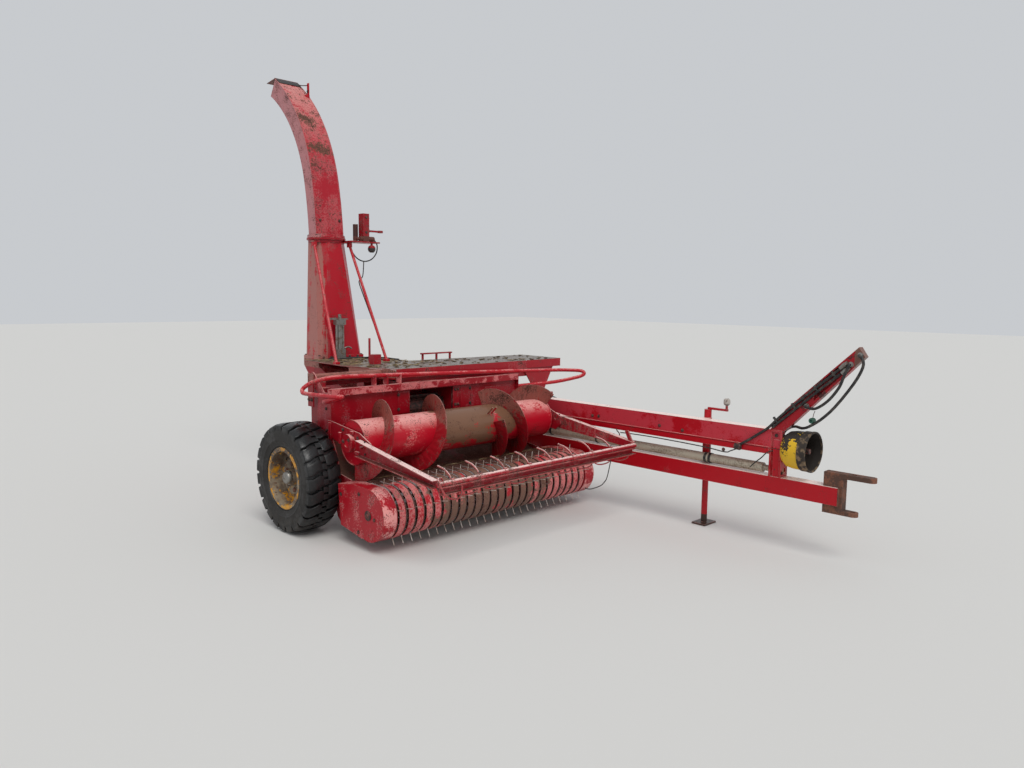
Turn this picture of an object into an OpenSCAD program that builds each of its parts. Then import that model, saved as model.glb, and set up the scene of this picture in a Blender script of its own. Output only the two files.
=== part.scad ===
// Trailed forage harvester with a pick-up header, a cutter behind it,
// a tall curved discharge spout and a drawbar on its left side.
// Millimetres. The front faces -Y and the machine's left is +X.

/* [Wheels] */
// Outer diameter of the tyres
tyre_d = 760; // [700:5:820]
// Width of the tyres
tyre_w = 255; // [220:5:270]
// Diameter of the rim's bead seat
rim_seat_d = 390; // [360:5:410]
// Gap between the header and the right tyre
wheel_right_gap = 32.5; // [22.5:1:92.5]
// Gap between the drawbar and the left tyre
wheel_left_gap = 72.5; // [62.5:1:122.5]
// Diameter of the stub axles
stub_d = 50; // [40:1:56]

/* [Header] */
// Distance from the datum plane to the header's middle, leftwards
header_x = 90; // [80:1:100]
// Clear width between the header's side plates
header_w = 1808; // [1790:2:1820]
// Thickness of the side plates
side_t = 6; // [4:1:8]
// Height of the header's pivot
pivot_z = 1050; // [1040:1:1056]
// Diameter of the tubes that the header hangs from
pivot_d = 60; // [50:1:64]
// Width of each end shield of the pick-up
shield_w = 100; // [80:2:120]
// Height of the header's top edge
header_top = 990; // [984:1:996]

/* [Auger] */
// Diameter of the auger's drum
drum_d = 300; // [260:2:320]
// Diameter over the auger's flights
flight_d = 544; // [520:2:548]
// Pitch of the flights
flight_pitch = 450; // [400:10:500]
// Thickness of the flights
flight_t = 6; // [4:1:8]
// Diameter of the auger's stub shafts
auger_shaft_d = 50; // [40:1:56]

/* [Pick-up] */
// Radius to the outer face of the stripper bands
band_r = 172; // [168:1:176]
// Thickness of the stripper bands
band_t = 4; // [3:0.5:5]
// Number of tine rows across the pick-up
tine_rows = 26; // [20:1:26]
// Number of tine bars round the reel
tine_bars = 5; // [4:1:6]
// Slot between two stripper bands
slot_w = 16; // [16:1:20]
// Radius to the tips of the tines
tine_tip_r = 225; // [215:1:228]
// Diameter of a tine
tine_d = 5.5; // [4:0.5:6]

/* [Feed and cutter] */
// Width of the feed opening
feed_w = 420; // [400:2:430]
// Radius of the cutter drum
cutter_r = 240; // [220:2:246]
// Sheet thickness of the housings
sheet_t = 6; // [4:1:8]
// Height of the deck's top face
deck_z = 1090; // [1088:1:1100]
// Thickness of the deck
deck_t = 5; // [4:1:8]

/* [Spout] */
// Width of the spout at its foot
spout_w_foot = 265; // [240:5:280]
// Width of the spout at its mouth
spout_w_mouth = 225; // [200:5:240]
// Depth of the spout at its foot
spout_d_foot = 120; // [110:5:140]
// Depth of the spout at its mouth
spout_d_mouth = 160; // [140:5:180]
// Height of the turning ring
ring_z = 2120; // [2080:5:2160]
// Outer diameter of the turning ring
ring_d = 330; // [310:5:340]

/* [Drawbar] */
// Distance from the header's side plate to the drawbar's middle
drawbar_gap = 200; // [190:1:206]
// Width of the drawbar's beams
beam_w = 100; // [80:2:104]
// Height of the upper beam
upper_h = 165; // [140:5:170]
// Height of the lower beam
lower_h = 115; // [90:5:116]
// Thickness of the beams' walls
beam_t = 8; // [6:1:10]
// Distance from the axle to the end of the hitch, forwards
hitch_reach = 3085; // [3000:5:3200]
// Diameter of the hitch pin hole
hitch_hole_d = 32; // [25:1:36]
// Diameter of the drive stub that the tractor's shaft fits on
pto_d = 34.9; // [30:0.1:40]
// Diameter of the jack's inner leg
jack_d = 44; // [38:1:48]

/* [Hidden] */
$fn = 48;

// Running clearances
fit = 0.3;
clear = 6;

// Wheels
tyre_r = tyre_d/2;
axle_z = tyre_r;
seat_r = rim_seat_d/2;
flange_r = seat_r + 20;
hub_r = 65;

// Header, in places measured from the axle
band_y = -770;
band_z = 246;
auger_y = -430;
auger_z = 655;
pivot_y = 60;
side_in = header_w/2;
side_out = side_in + side_t;
header_left = header_x + side_out;
header_right = header_x - side_out;
drawbar_x = header_left + drawbar_gap;
wheel_right_out = wheel_right_gap + tyre_w/2 - header_right;
wheel_left_out = drawbar_x + beam_w/2 + wheel_left_gap + tyre_w/2;
row_pitch = (header_w - 18)/(tine_rows - 1);
back_t = 6;
drum_r = drum_d/2;
flight_r = flight_d/2;
pan_r = flight_r + 10;
pan_t = 4;
back_front = auger_y + pan_r;
back_y = back_front + back_t;
drum_end = side_in - 9;
carrier_t = 8;
arm_gap = 7;
arm_w = 60;
guard_y = -1370;
guard_z = 545;
guard_d = 34;
guard_pivot_y = -600;
guard_pivot_z = 650;
shield_out = side_out + shield_w;
pan_front_y = auger_y - sqrt(pan_r*pan_r - pow(auger_z - band_z - band_r, 2));
opening_z0 = 460;
opening_z1 = 930;
first_row = header_x - (tine_rows - 1)*row_pitch/2;

// Feed and cutter
feed_y = 30;
upper_roller_z = 770;
upper_roller_r = 95;
lower_roller_z = 530;
lower_roller_r = 72;
feed_x0 = header_x - feed_w/2;
feed_x1 = header_x + feed_w/2;
cutter_y = 530;
cutter_z = 560;
shell_r = cutter_r + 22;
feed_floor = 436;
cutter_x0 = -260;
cutter_x1 = 330;
cutter_front = cutter_y - shell_r - sheet_t - 10;

// Chute and spout
chute_x = 0;
chute_y = 1200;
chute_right = -190;
chute_left = 240;
chute_front = 1020;
chute_rear = 1260;
deck_front = -90;
deck_right = -200;
deck_left = wheel_left_out + 170;
lip_h = 70;

// Drawbar, with its own hinge on the line drawbar_x, hinge_y
hinge_y = -130;
upper_top = 785;
upper_bottom = upper_top - upper_h;
lower_top = 470;
lower_bottom = lower_top - lower_h;
shaft_z = 512;
shaft_d = 66;
beam_end_y = -hitch_reach + 215;
post_y = beam_end_y + 470;
post_w = 85;
jack_x = drawbar_x + beam_w/2 + 40;
jack_y = post_y + 560;
hinge_pin_d = 40;

// Lift cylinder's pins
lift_x = header_x + side_in - 34;
lift_rear_y = 112;
lift_rear_z = 565;
lift_front_y = -125;
lift_front_z = 480;
lift_pin_r = 10;

// Helpers
module placed() translate([-frame_x, -frame_y, 0]) children();

module block(x0, x1, y0, y1, z0, z1) translate([x0, y0, z0]) cube([x1 - x0, y1 - y0, z1 - z0]);

module rod_x(x0, x1, y, z, r) translate([x0, y, z]) rotate([0, 90, 0]) cylinder(h = x1 - x0, r = r);

module rod_y(x, y0, y1, z, r) translate([x, y0, z]) rotate([-90, 0, 0]) cylinder(h = y1 - y0, r = r);

module rod_z(x, y, z0, z1, r) translate([x, y, z0]) cylinder(h = z1 - z0, r = r);

// A round bar from point p to point q
module bar(p, q, r) {
    d = q - p;
    translate(p) rotate([0, acos(d[2]/norm(d)), atan2(d[1], d[0])]) cylinder(h = norm(d), r = r);
}

// A plate whose outline lies in the Y-Z plane, from x0 to x1
module side_plate(x0, x1, outline) translate([x0, 0, 0]) rotate([90, 0, 90])
    linear_extrude(x1 - x0) polygon(outline);

// Children drawn for a side: +1 is the machine's left, -1 its right, mirrored on the header's middle
module header_side(side) translate([header_x, 0, 0]) mirror([side < 0 ? 1 : 0, 0, 0]) children();

// Smooth curve through points, n steps a span
function curve(p, n) = [for (i = [0 : len(p) - 2]) for (k = [0 : n - 1])
    let (t = k/n, a = p[max(i - 1, 0)], b = p[i], c = p[i + 1], d = p[min(i + 2, len(p) - 1)])
    0.5*(2*b + (c - a)*t + (2*a - 5*b + 4*c - d)*t*t + (3*b - a - 3*c + d)*t*t*t), p[len(p) - 1]];

function unit(v) = v/norm(v);

function tangent(p, i) = unit(p[min(i + 1, len(p) - 1)] - p[max(i - 1, 0)]);

// Cross directions carried along a path without twist
function carried(p, i = 0, u = [0, 0, 0], made = []) = i == len(p) ? made :
    let (t = tangent(p, i), side = i > 0 ? u : cross(t, abs(t[2]) > 0.9 ? [0, 1, 0] : [0, 0, 1]),
        w = unit(side - (side*t)*t))
    carried(p, i + 1, w, concat(made, [w]));

// A round bar or hose swept along a path
module swept(path, r, sides = 8) {
    n = len(path);
    u = carried(path);
    v = [for (i = [0 : n - 1]) let (w = cross(tangent(path, i), u[i])) for (k = [0 : sides - 1])
        path[i] + r*(cos(360*k/sides)*u[i] + sin(360*k/sides)*w)];
    around = [for (i = [0 : n - 2]) for (k = [0 : sides - 1])
        let (a = i*sides + k, b = i*sides + (k + 1)%sides) [a, a + sides, b + sides, b]];
    first = [for (k = [0 : sides - 1]) k];
    last = [for (k = [sides - 1 : -1 : 0]) (n - 1)*sides + k];
    polyhedron(v, concat(around, [first, last]));
}

// A hose that leaves and meets its fittings straight
module hose(points, r) swept(concat([points[0]], curve([for (i = [1 : len(points) - 2]) points[i]], 4),
    [points[len(points) - 1]]), r);

// Corners of a path rounded over a length
function rounded(p, reach) = concat([p[0]], [for (i = [1 : len(p) - 2])
    let (a = p[i] + reach*unit(p[i - 1] - p[i]), b = p[i] + reach*unit(p[i + 1] - p[i]))
    for (k = [0 : 3]) let (t = k/3) (1 - t)*(1 - t)*a + 2*t*(1 - t)*p[i] + t*t*b], [p[len(p) - 1]]);

module bent_bar(points, r, reach, sides = 10) swept(rounded(points, reach), r, sides);

// Wheels
module tyre() rotate([0, 90, 0]) rotate_extrude($fn = 72) polygon([
    [seat_r + fit, -tyre_w/2 + 30], [seat_r + 30, -tyre_w/2 + 22], [tyre_r*0.78, -tyre_w/2],
    [tyre_r - 22, -tyre_w/2 + 8], [tyre_r - 2, -tyre_w/2 + 32], [tyre_r, 0], [tyre_r - 2, tyre_w/2 - 32],
    [tyre_r - 22, tyre_w/2 - 8], [tyre_r*0.78, tyre_w/2], [seat_r + 30, tyre_w/2 - 22],
    [seat_r + fit, tyre_w/2 - 30]]);

// Rim, dished disc and hub in one turned profile, the outer side at +X
module rim() {
    rim_in = seat_r - 8;
    rim_half = tyre_w/2 - 22;
    disc_x = 12;
    disc_t = 9;
    difference() {
        rotate([0, 90, 0]) rotate_extrude($fn = 72) polygon([
            [stub_d/2 + fit, -70], [hub_r, -70], [hub_r, disc_x], [120, disc_x + 22], [150, disc_x],
            [rim_in, disc_x], [rim_in, -rim_half - 6], [flange_r, -rim_half - 6], [flange_r, -rim_half],
            [seat_r, -rim_half + 4], [seat_r, rim_half - 4], [flange_r, rim_half], [flange_r, rim_half + 6],
            [rim_in, rim_half + 6], [rim_in, disc_x + disc_t], [152, disc_x + disc_t],
            [118, disc_x + disc_t + 22], [hub_r, disc_x + disc_t], [hub_r - 12, 62], [48, 62], [42, 84],
            [0, 84], [0, 60], [stub_d/2 + fit, 60]]);
        for (k = [0 : 3]) rotate([45 + 90*k, 0, 0]) rod_x(0, 60, 0, 152, 14);
    }
}

module wheel_at(side) translate([side > 0 ? wheel_left_out : -wheel_right_out, 0, axle_z])
    mirror([side < 0 ? 1 : 0, 0, 0]) children();

module tyre_right() color("#1c1c1e") placed() wheel_at(-1) tyre();
module tyre_left() color("#1c1c1e") placed() wheel_at(1) tyre();
module rim_right() color("#b98a24") placed() wheel_at(-1) rim();
module rim_left() color("#b98a24") placed() wheel_at(1) rim();

// Main frame: axle, uprights, top beam, header pivots and the drawbar's hinge bracket
upright_right = header_x - side_in + 24;
upright_left = header_x + side_in + 36;
upright_w = 60;
top_beam_z0 = 985;
top_beam_z1 = 1045;
hinge_plate_t = 22;
hinge_low = lower_bottom - fit - hinge_plate_t;
hinge_high = upper_top + fit;
left_pin_r = 18;
module main_frame() color("#a8202a") placed() difference() {
    union() {
        rod_x(-wheel_right_out - 50, wheel_left_out + 50, 0, axle_z, stub_d/2);
        block(-wheel_right_out + 90, wheel_left_out - 90, -35, 35, axle_z - 35, axle_z + 35);
        for (x = [upright_right, upright_left]) {
            block(x, x + upright_w, -35, 130, axle_z + 35, top_beam_z0);
            block(x, x + upright_w, pivot_y - 30, 100, top_beam_z0, pivot_z + 20);
        }
        block(upright_right, deck_left - 60, 100, 170, top_beam_z0, top_beam_z1);
        for (x = [cutter_x0 - 60, cutter_x1]) block(x, x + 60, 35, 800, axle_z - 40, axle_z + 20);
        rod_x(header_right - 16, deck_right + 40, pivot_y, pivot_z, pivot_d/2);
        block(header_right - 16, header_right - 6, pivot_y - 35, pivot_y + 35, 850, pivot_z + 34);
        rod_x(header_x + side_in - 20, upright_left, pivot_y, pivot_z, left_pin_r);
        block(upright_left + upright_w, drawbar_x + 70, hinge_y - 60, 130, hinge_low, hinge_low + hinge_plate_t);
        block(upright_left + upright_w, drawbar_x + 220, hinge_y - 60, 130, hinge_high, hinge_high + hinge_plate_t);
    }
    rod_z(drawbar_x, hinge_y, 0, 2000, hinge_pin_d/2 + fit);
    rod_x(upright_left - 1, upright_left + 61, lift_rear_y, lift_rear_z, lift_pin_r + fit);
}

// Feed housing: walls beside the two rollers
module feed_housing() color("#9c1c26") placed() {
    y0 = back_y + 10;
    y1 = cutter_front;
    difference() {
        union() {
            for (x = [feed_x0 - sheet_t, feed_x1]) block(x, x + sheet_t, y0, y1, feed_floor, top_beam_z0);
            block(feed_x0, feed_x1, y0, y1, feed_floor, feed_floor + sheet_t);
            block(feed_x0, feed_x1, y0, y1, top_beam_z0 - sheet_t, top_beam_z0);
        }
        for (z = [upper_roller_z, lower_roller_z]) rod_x(-600, 600, feed_y, z, 20 + fit);
    }
}

module roller(z, r, teeth) {
    rod_x(feed_x0 + clear, feed_x1 - clear, feed_y, z, r);
    rod_x(feed_x0 - 40, feed_x1 + 40, feed_y, z, 20);
    if (teeth > 0) for (k = [0 : teeth - 1]) translate([0, feed_y, z]) rotate([360*k/teeth, 0, 0])
        block(feed_x0 + clear, feed_x1 - clear, -4, 4, r - 4, r + 14);
}

module feed_roller_upper() color("#8a5a50") placed() roller(upper_roller_z, upper_roller_r - 14, 8);
module feed_roller_lower() color("#7a6a60") placed() roller(lower_roller_z, lower_roller_r, 0);

// Cutter housing: a round shell open to the feed side, with a duct up to the chute
module cutter_shell(t) {
    rod_x(cutter_x0 + t, cutter_x1 - t, cutter_y, cutter_z, shell_r + sheet_t - t);
    side_plate(chute_right - 10 + t, chute_left + 10 - t, [[cutter_y, cutter_z - shell_r - sheet_t + t],
        [chute_rear - t, deck_z - 60], [chute_rear - t, deck_z - t], [chute_front + t, deck_z - t],
        [chute_front + t, deck_z - 60], [cutter_y, cutter_z + shell_r + sheet_t - t]]);
}

module cutter_housing() color("#a8202a") placed() difference() {
    union() {
        cutter_shell(0);
        block(cutter_x0, cutter_x1, cutter_front, cutter_y - 180, feed_floor, top_beam_z0);
    }
    cutter_shell(sheet_t);
    block(feed_x0, feed_x1, cutter_front - 10, cutter_y - 120, 470, 780);
    block(chute_right + 30, chute_left - 30, chute_front + 30, chute_rear - 30, deck_z - 20, deck_z + 10);
    rod_x(cutter_x0 - 60, cutter_x1 + 60, cutter_y, cutter_z, 30 + fit);
}

module cutter_drum() color("#6b6a68") placed() {
    rod_x(cutter_x0 + sheet_t + clear, cutter_x1 - sheet_t - clear, cutter_y, cutter_z, cutter_r);
    rod_x(cutter_x0 - 40, cutter_x1 + 40, cutter_y, cutter_z, 30);
}

// Gearbox where the drive line comes in, and the tube to the cutter
module gearbox() color("#9c1c26") placed() difference() {
    union() {
        block(drawbar_x - 110, drawbar_x + 90, cutter_y - 130, cutter_y + 130, 420, 690);
        rod_x(drawbar_x - 140, drawbar_x - 110, cutter_y, cutter_z, 90);
        rod_y(drawbar_x, cutter_y - 160, cutter_y - 130, shaft_z, 70);
        rod_x(cutter_x1, drawbar_x - 140, cutter_y, cutter_z, 60);
    }
    rod_y(drawbar_x, cutter_y - 170, cutter_y - 60, shaft_z, 20 + fit);
    rod_x(cutter_x1 - 1, cutter_x1 + 60, cutter_y, cutter_z, 46);
}

// Chain case on the cutter's right end, down to the feed rollers
module feed_drive_case() color("#a8202a") placed() difference() {
    union() {
        rod_x(cutter_x0 - 90, cutter_x0, cutter_y, cutter_z, 150);
        side_plate(cutter_x0 - 90, cutter_x0, [[cutter_y, cutter_z - 150], [cutter_y, cutter_z + 150],
            [feed_y - 40, upper_roller_z + 70], [feed_y - 90, upper_roller_z], [feed_y - 90, lower_roller_z],
            [feed_y - 40, lower_roller_z - 70]]);
    }
    rod_x(cutter_x0 - 50, cutter_x0 + 1, cutter_y, cutter_z, 46);
}

// Flat deck over the feed and cutter with a folded front lip, a low rack at its rear edge
// and a tapered plate down to the drawbar's hinge bracket
module deck() color("#7d5a50") placed() {
    translate([0, 0, deck_z - deck_t]) linear_extrude(deck_t) polygon([[deck_right, deck_front],
        [deck_left, deck_front], [deck_left, 400], [cutter_x1 + 20, 480],
        [cutter_x1 + 20, chute_front - 1], [-330, chute_front - 1], [-360, 320]]);
    block(-155, -85, 270, 330, deck_z, deck_z + 84);
    rod_z(-38, 500, deck_z, deck_z + 200, 9);
    block(deck_right, deck_left, deck_front, deck_front + deck_t, deck_z - lip_h, deck_z - deck_t);
    block(deck_left - deck_t, deck_left, deck_front + deck_t, 400, deck_z - lip_h, deck_z - deck_t);
    for (x = [60, 700, 1300]) block(x, x + 50, 104, 166, top_beam_z1, deck_z - deck_t);
    translate([0, deck_front + 20, 0]) rotate([90, 0, 0]) linear_extrude(8) polygon([
        [drawbar_x - 90, deck_z - deck_t], [deck_left - 50, deck_z - deck_t],
        [drawbar_x + 220, hinge_high + hinge_plate_t], [drawbar_x + 110, hinge_high + hinge_plate_t]]);
    for (x = [450, 600, 750]) block(x, x + 14, 430, 444, deck_z, deck_z + 50);
    block(440, 774, 424, 450, deck_z + 50, deck_z + 62);
}

// Knife sharpening cylinder with its cap bracket beside the chute
module sharpening_gear() color("#8f8f8c") placed() {
    y = chute_front - 50;
    block(-75, 35, y - 34, y + 34, deck_z, deck_z + 12);
    block(-62, 22, y - 26, y + 26, deck_z + 12, deck_z + 84);
    for (x = [-50, 10]) rod_z(x, y, deck_z + 84, deck_z + 300, 11);
    rod_z(-20, y, deck_z + 84, deck_z + 292, 21);
    block(-66, 26, y - 26, y + 26, deck_z + 292, deck_z + 336);
    block(-118, -48, y - 12, y + 12, deck_z + 336, deck_z + 352);
    block(-50, 58, y - 12, y + 12, deck_z + 336, deck_z + 346);
    rod_z(-20, y, deck_z + 336, deck_z + 382, 14);
}

// Chute: oblong foot folded up to an eight-sided neck, with a flange round the foot
module chute_hull(t) hull() {
    block(chute_right - chute_x + t, chute_left - chute_x - t, chute_front - chute_y + t + 25,
        chute_rear - chute_y - t - 25, 0, 1);
    block(chute_right - chute_x + t + 25, chute_left - chute_x - t - 25, chute_front - chute_y + t,
        chute_rear - chute_y - t, 0, 1);
    translate([0, 0, ring_z - 40 - deck_z - 1]) rotate([0, 0, 22.5]) cylinder(r = ring_d/2 - 12 - t, h = 1, $fn = 8);
}

module chute() color("#b3242e") placed() translate([chute_x, chute_y, deck_z]) difference() {
    union() {
        chute_hull(0);
        block(chute_right - chute_x - 10, chute_left - chute_x + 10, chute_front - chute_y, chute_rear - chute_y, 0, 26);
    }
    chute_hull(5);
}

// Fixed ring on the chute's neck
module chute_ring() color("#a8202a") placed() translate([chute_x, chute_y, ring_z - 40]) difference() {
    union() {
        cylinder(r = ring_d/2 - 12, h = 30);
        translate([0, 0, 22]) cylinder(r = ring_d/2, h = 18 - fit);
        block(ring_d/2 - 60, 400, -230, -80, 8, 20);
        block(ring_d/2 - 60, ring_d/2 + 20, -160, 0, 8, 20);
        for (q = stay_tops) block(min(q[0], 0.7*q[0]) - 16, max(q[0], 0.7*q[0]) + 16, q[1] - chute_y - 16, -40, 0, 10);
    }
    translate([0, 0, -1]) cylinder(r = ring_d/2 - 30, h = 60);
}

stay_tops = [[-166, 1118], [145, 1062]];
stay_feet = [[-330, 530], [160, 545]];
module chute_stays() color("#b3242e") placed() for (i = [0, 1]) {
    foot = stay_feet[i];
    head = stay_tops[i];
    block(foot[0] - 20, foot[0] + 20, foot[1] - 20, foot[1] + 20, deck_z, deck_z + 20);
    bar([foot[0], foot[1], deck_z + 12], [head[0], head[1], ring_z - 55], 12, $fn = 12);
    block(head[0] - 16, head[0] + 16, head[1] - 18, head[1] + 16, ring_z - 75, ring_z - 40);
}

// Worm box and motor that turn the spout
drive_y = -160;
module spout_drive() color("#9c1c26") placed() translate([chute_x, chute_y + drive_y, ring_z]) {
    rod_z(222, 44, -20, 130, 22);
    block(250, 312, -36, 36, -20, 222);
    block(312, 330, -14, 14, 60, 92);
    block(330, 440, -10, 10, 68, 84);
    difference() {
        rod_z(452, 0, 66, 86, 24);
        rod_z(452, 0, 60, 90, 11);
    }
    rod_x(204, 228, -10, 4, 12);
    rod_x(228, 372, -10, 4, 24 - fit);
    translate([330, -44, -112]) rotate_extrude() polygon([[0, 0], [16, 0], [29, 11], [34, 30], [31, 48], [20, 60],
        [10, 63], [10, 80 - fit], [0, 80 - fit]]);
}

// Spout: curved box duct that widens in depth from foot to mouth.
// Its outer edge follows two arcs, the angle measured from the vertical.
lean_foot = 3;
lean_knee = 12.5;
lean_mouth = 57;
arc_foot = 3000;
arc_top = 1450;
spout_foot_y = -60;
function spout_outer(a) = a <= lean_knee
    ? [spout_foot_y + arc_foot*(cos(lean_foot) - cos(a)), 30 + arc_foot*(sin(a) - sin(lean_foot))]
    : spout_outer(lean_knee) + arc_top*[cos(lean_knee) - cos(a), sin(a) - sin(lean_knee)];
function spout_share(a) = (a - lean_foot)/(lean_mouth - lean_foot);
function spout_section(a, inset) =
    let (s = spout_share(a), o = spout_outer(a), n = [cos(a), -sin(a)],
        w = (spout_w_foot + s*(spout_w_mouth - spout_w_foot))/2 - inset,
        d = spout_d_foot + s*(spout_d_mouth - spout_d_foot),
        p = o + n*inset, q = o + n*(d - inset))
    [[-w, p[0], p[1]], [w, p[0], p[1]], [w, q[0], q[1]], [-w, q[0], q[1]]];
spout_leans = concat([for (k = [0 : 3]) lean_foot + k*(lean_knee - lean_foot)/4],
    [for (k = [0 : 22]) lean_knee + k*(lean_mouth - lean_knee)/22]);

module spout_duct() {
    n = len(spout_leans);
    v = [for (t = [0, 4]) for (a = spout_leans) each spout_section(a, t)];
    outside = [for (i = [0 : n - 2]) for (k = [0 : 3]) let (a = 4*i + k, b = 4*i + (k + 1)%4) [a, a + 4, b + 4, b]];
    inside = [for (i = [0 : n - 2]) for (k = [0 : 3])
        let (a = 4*(n + i) + k, b = 4*(n + i) + (k + 1)%4) [a, b, b + 4, a + 4]];
    ends = [for (k = [0 : 3]) each [[k, (k + 1)%4, 4*n + (k + 1)%4, 4*n + k],
        [4*(n - 1) + (k + 1)%4, 4*(n - 1) + k, 4*(2*n - 1) + k, 4*(2*n - 1) + (k + 1)%4]]];
    polyhedron(v, concat(outside, inside, ends));
}

module spout() color("#a02a32") placed() translate([chute_x, chute_y, ring_z]) {
    spout_duct();
    difference() {
        union() {
            cylinder(r = ring_d/2 - 6, h = 18);
            translate([0, 0, 18]) cylinder(r = ring_d/2 - 16, h = 12);
        }
        translate([0, 0, -1]) cylinder(r = ring_d/2 - 60, h = 40);
    }
}

// Flap at the spout's mouth, hinged on the outer edge
flap_l = 150;
flap_droop = 40;
flap_rest = lean_mouth + flap_droop - 90;
flap_pin_r = 8;
flap_hinge = spout_outer(lean_mouth) + (flap_pin_r + fit)*[sin(lean_mouth), cos(lean_mouth)];
module spout_flap() color("#8c2029") placed() translate([chute_x, chute_y + flap_hinge[0], ring_z + flap_hinge[1]]) {
    rod_x(-spout_w_mouth/2, spout_w_mouth/2, 0, 0, flap_pin_r);
    rotate([-flap_rest, 0, 0]) block(-spout_w_mouth/2, spout_w_mouth/2, 0, flap_l, 1, 5);
}

// The part's frame: its middle lies over the middle of the whole machine
// with the spout pointing back, where its flap reaches farthest
frame_x = (deck_left - (wheel_right_out + tyre_w/2))/2;
frame_y = (chute_y + flap_hinge[0] + flap_l*cos(flap_rest) + 5*sin(flap_rest) - hitch_reach)/2;

// Header side plates: narrow swept plates with an eye round the header's pivot
side_outline = [[-142, header_top], [-142, header_top - 25], [-20, header_top - 30], [5, 770], [-47, 580], [-106, 470], [-250, 120],
    [-300, 75], [-460, 75], [-430, 400], [-292, 420], [-244, 560], [-200, 640], [-180, 800], [-180, header_top]];
carrier_outline = [[-150, 775], [-200, 775], [-540, 735], [-670, 680], [-670, 620], [-610, 570], [-500, 585],
    [-200, 660], [-150, 690]];
module header_side_plate(side) placed() header_side(side) difference() {
    union() {
        side_plate(side_in, side_out, side_outline);
        side_plate(side_in, side_out, side > 0
            ? [[-20, 900], [-40, 955], [0, 985], [pivot_y - 28, 1040], [pivot_y + 28, 1040], [pivot_y + 10, 955]]
            : [[-100, 900], [-100, 960], [pivot_y - 20, pivot_z + 39], [pivot_y + 20, pivot_z - 39]]);
        rod_x(side_in, side_out, pivot_y, pivot_z, side > 0 ? 30 : 44);
        shield_solid(side_in, side_out, 0);
        side_plate(side_out, side_out + carrier_t, carrier_outline);
        rod_x(side_out + carrier_t, side_out + carrier_t + 30, auger_y, auger_z, 62);
        if (side > 0) rod_x(lift_x - 20 - header_x, side_in, lift_front_y, lift_front_z, lift_pin_r - 2);
    }
    rod_x(side_in - 1, 2000, pivot_y, pivot_z, (side > 0 ? left_pin_r : pivot_d/2) + fit);
    rod_x(side_in - 1, 2000, auger_y, auger_z, auger_shaft_d/2 + fit);
    rod_x(side_in - 1, 2000, guard_pivot_y, guard_pivot_z, 10 + fit);
    rod_x(side_in - 1, 2000, band_y, band_z, 20 + fit);
}
module header_side_right() color("#a8202a") header_side_plate(-1);
module header_side_left() color("#a8202a") header_side_plate(1);

// Back plate with the feed opening and a box rail along its top
module header_back() color("#a8202a") placed() {
    x0 = header_x - side_in;
    x1 = header_x + side_in;
    difference() {
        block(x0, x1, back_front, back_y, auger_z, header_top - 50);
        block(feed_x0, feed_x1, back_front - 20, back_y + 20, auger_z - 10, opening_z1);
    }
    block(x0, x1, back_front - 34, back_y, header_top - 50, header_top);
    for (x = [header_right + 380, header_right + 485, header_right + 602]) difference() {
        block(x - 6, x + 6, back_y - 28, back_y + 22, header_top, rail_z(x) + 4);
        rod_x(x - 7, x + 7, rail_y, rail_z(x), 17);
    }
}

// Trough under the auger, with the lower part of the feed opening
module auger_pan() color("#8b3a34") placed() difference() {
    rod_x(header_x - side_in, header_x + side_in, auger_y, auger_z, pan_r + pan_t);
    rod_x(header_x - side_in - 1, header_x + side_in + 1, auger_y, auger_z, pan_r);
    block(header_x - side_in - 1, header_x + side_in + 1, -2000, 0, auger_z, 2000);
    block(header_x - side_in - 1, header_x + side_in + 1, -2000, pan_front_y, 0, 2000);
    block(feed_x0, feed_x1, auger_y + 150, 0, opening_z0, 2000);
}

// Pick-up: curved stripper bands on a beam, and a closed shield at each end
module band_profile() rotate([90, 0, 90]) linear_extrude(row_pitch - slot_w) {
    difference() {
        translate([band_y, band_z]) circle(r = band_r);
        translate([band_y, band_z]) circle(r = band_r - band_t);
        translate([band_y, band_z - 300]) square([400, 600]);
    }
    translate([band_y, band_z + band_r - band_t]) square([pan_front_y - band_y, band_t]);
    polygon([[band_y, band_z - band_r], [-460, 120], [-460, 120 + band_t], [band_y, band_z - band_r + band_t]]);
}

module pickup_bands() color("#b3242e") placed() {
    for (i = [0 : tine_rows - 2]) translate([first_row + i*row_pitch + slot_w/2, 0, 0]) band_profile();
    block(header_x - side_in, header_x + side_in, -460, -410, 90, 150);
}

module shield_solid(x0, x1, e) {
    rod_x(x0, x1, band_y, band_z, band_r - e);
    side_plate(x0, x1, [[band_y, band_z], [band_y, band_z + band_r - e], [-590, band_z + band_r - e],
        [-420 - e, 395 - e], [-450 - e, 120 + e], [-700, 78 + e]]);
}

module shield(side) placed() header_side(side) difference() {
    shield_solid(side_out, side_out + shield_w, 0);
    shield_solid(side_out - 1, side_out + shield_w - 4, 4);
}
module shield_right() color("#b3242e") shield(-1);
module shield_left() color("#b3242e") shield(1);

// Chain case on the header's left end
module header_drive_case() color("#a8202a") placed() header_side(1)
    rod_x(side_out + carrier_t + 30, side_out + carrier_t + 70, auger_y, auger_z, 62);

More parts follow.
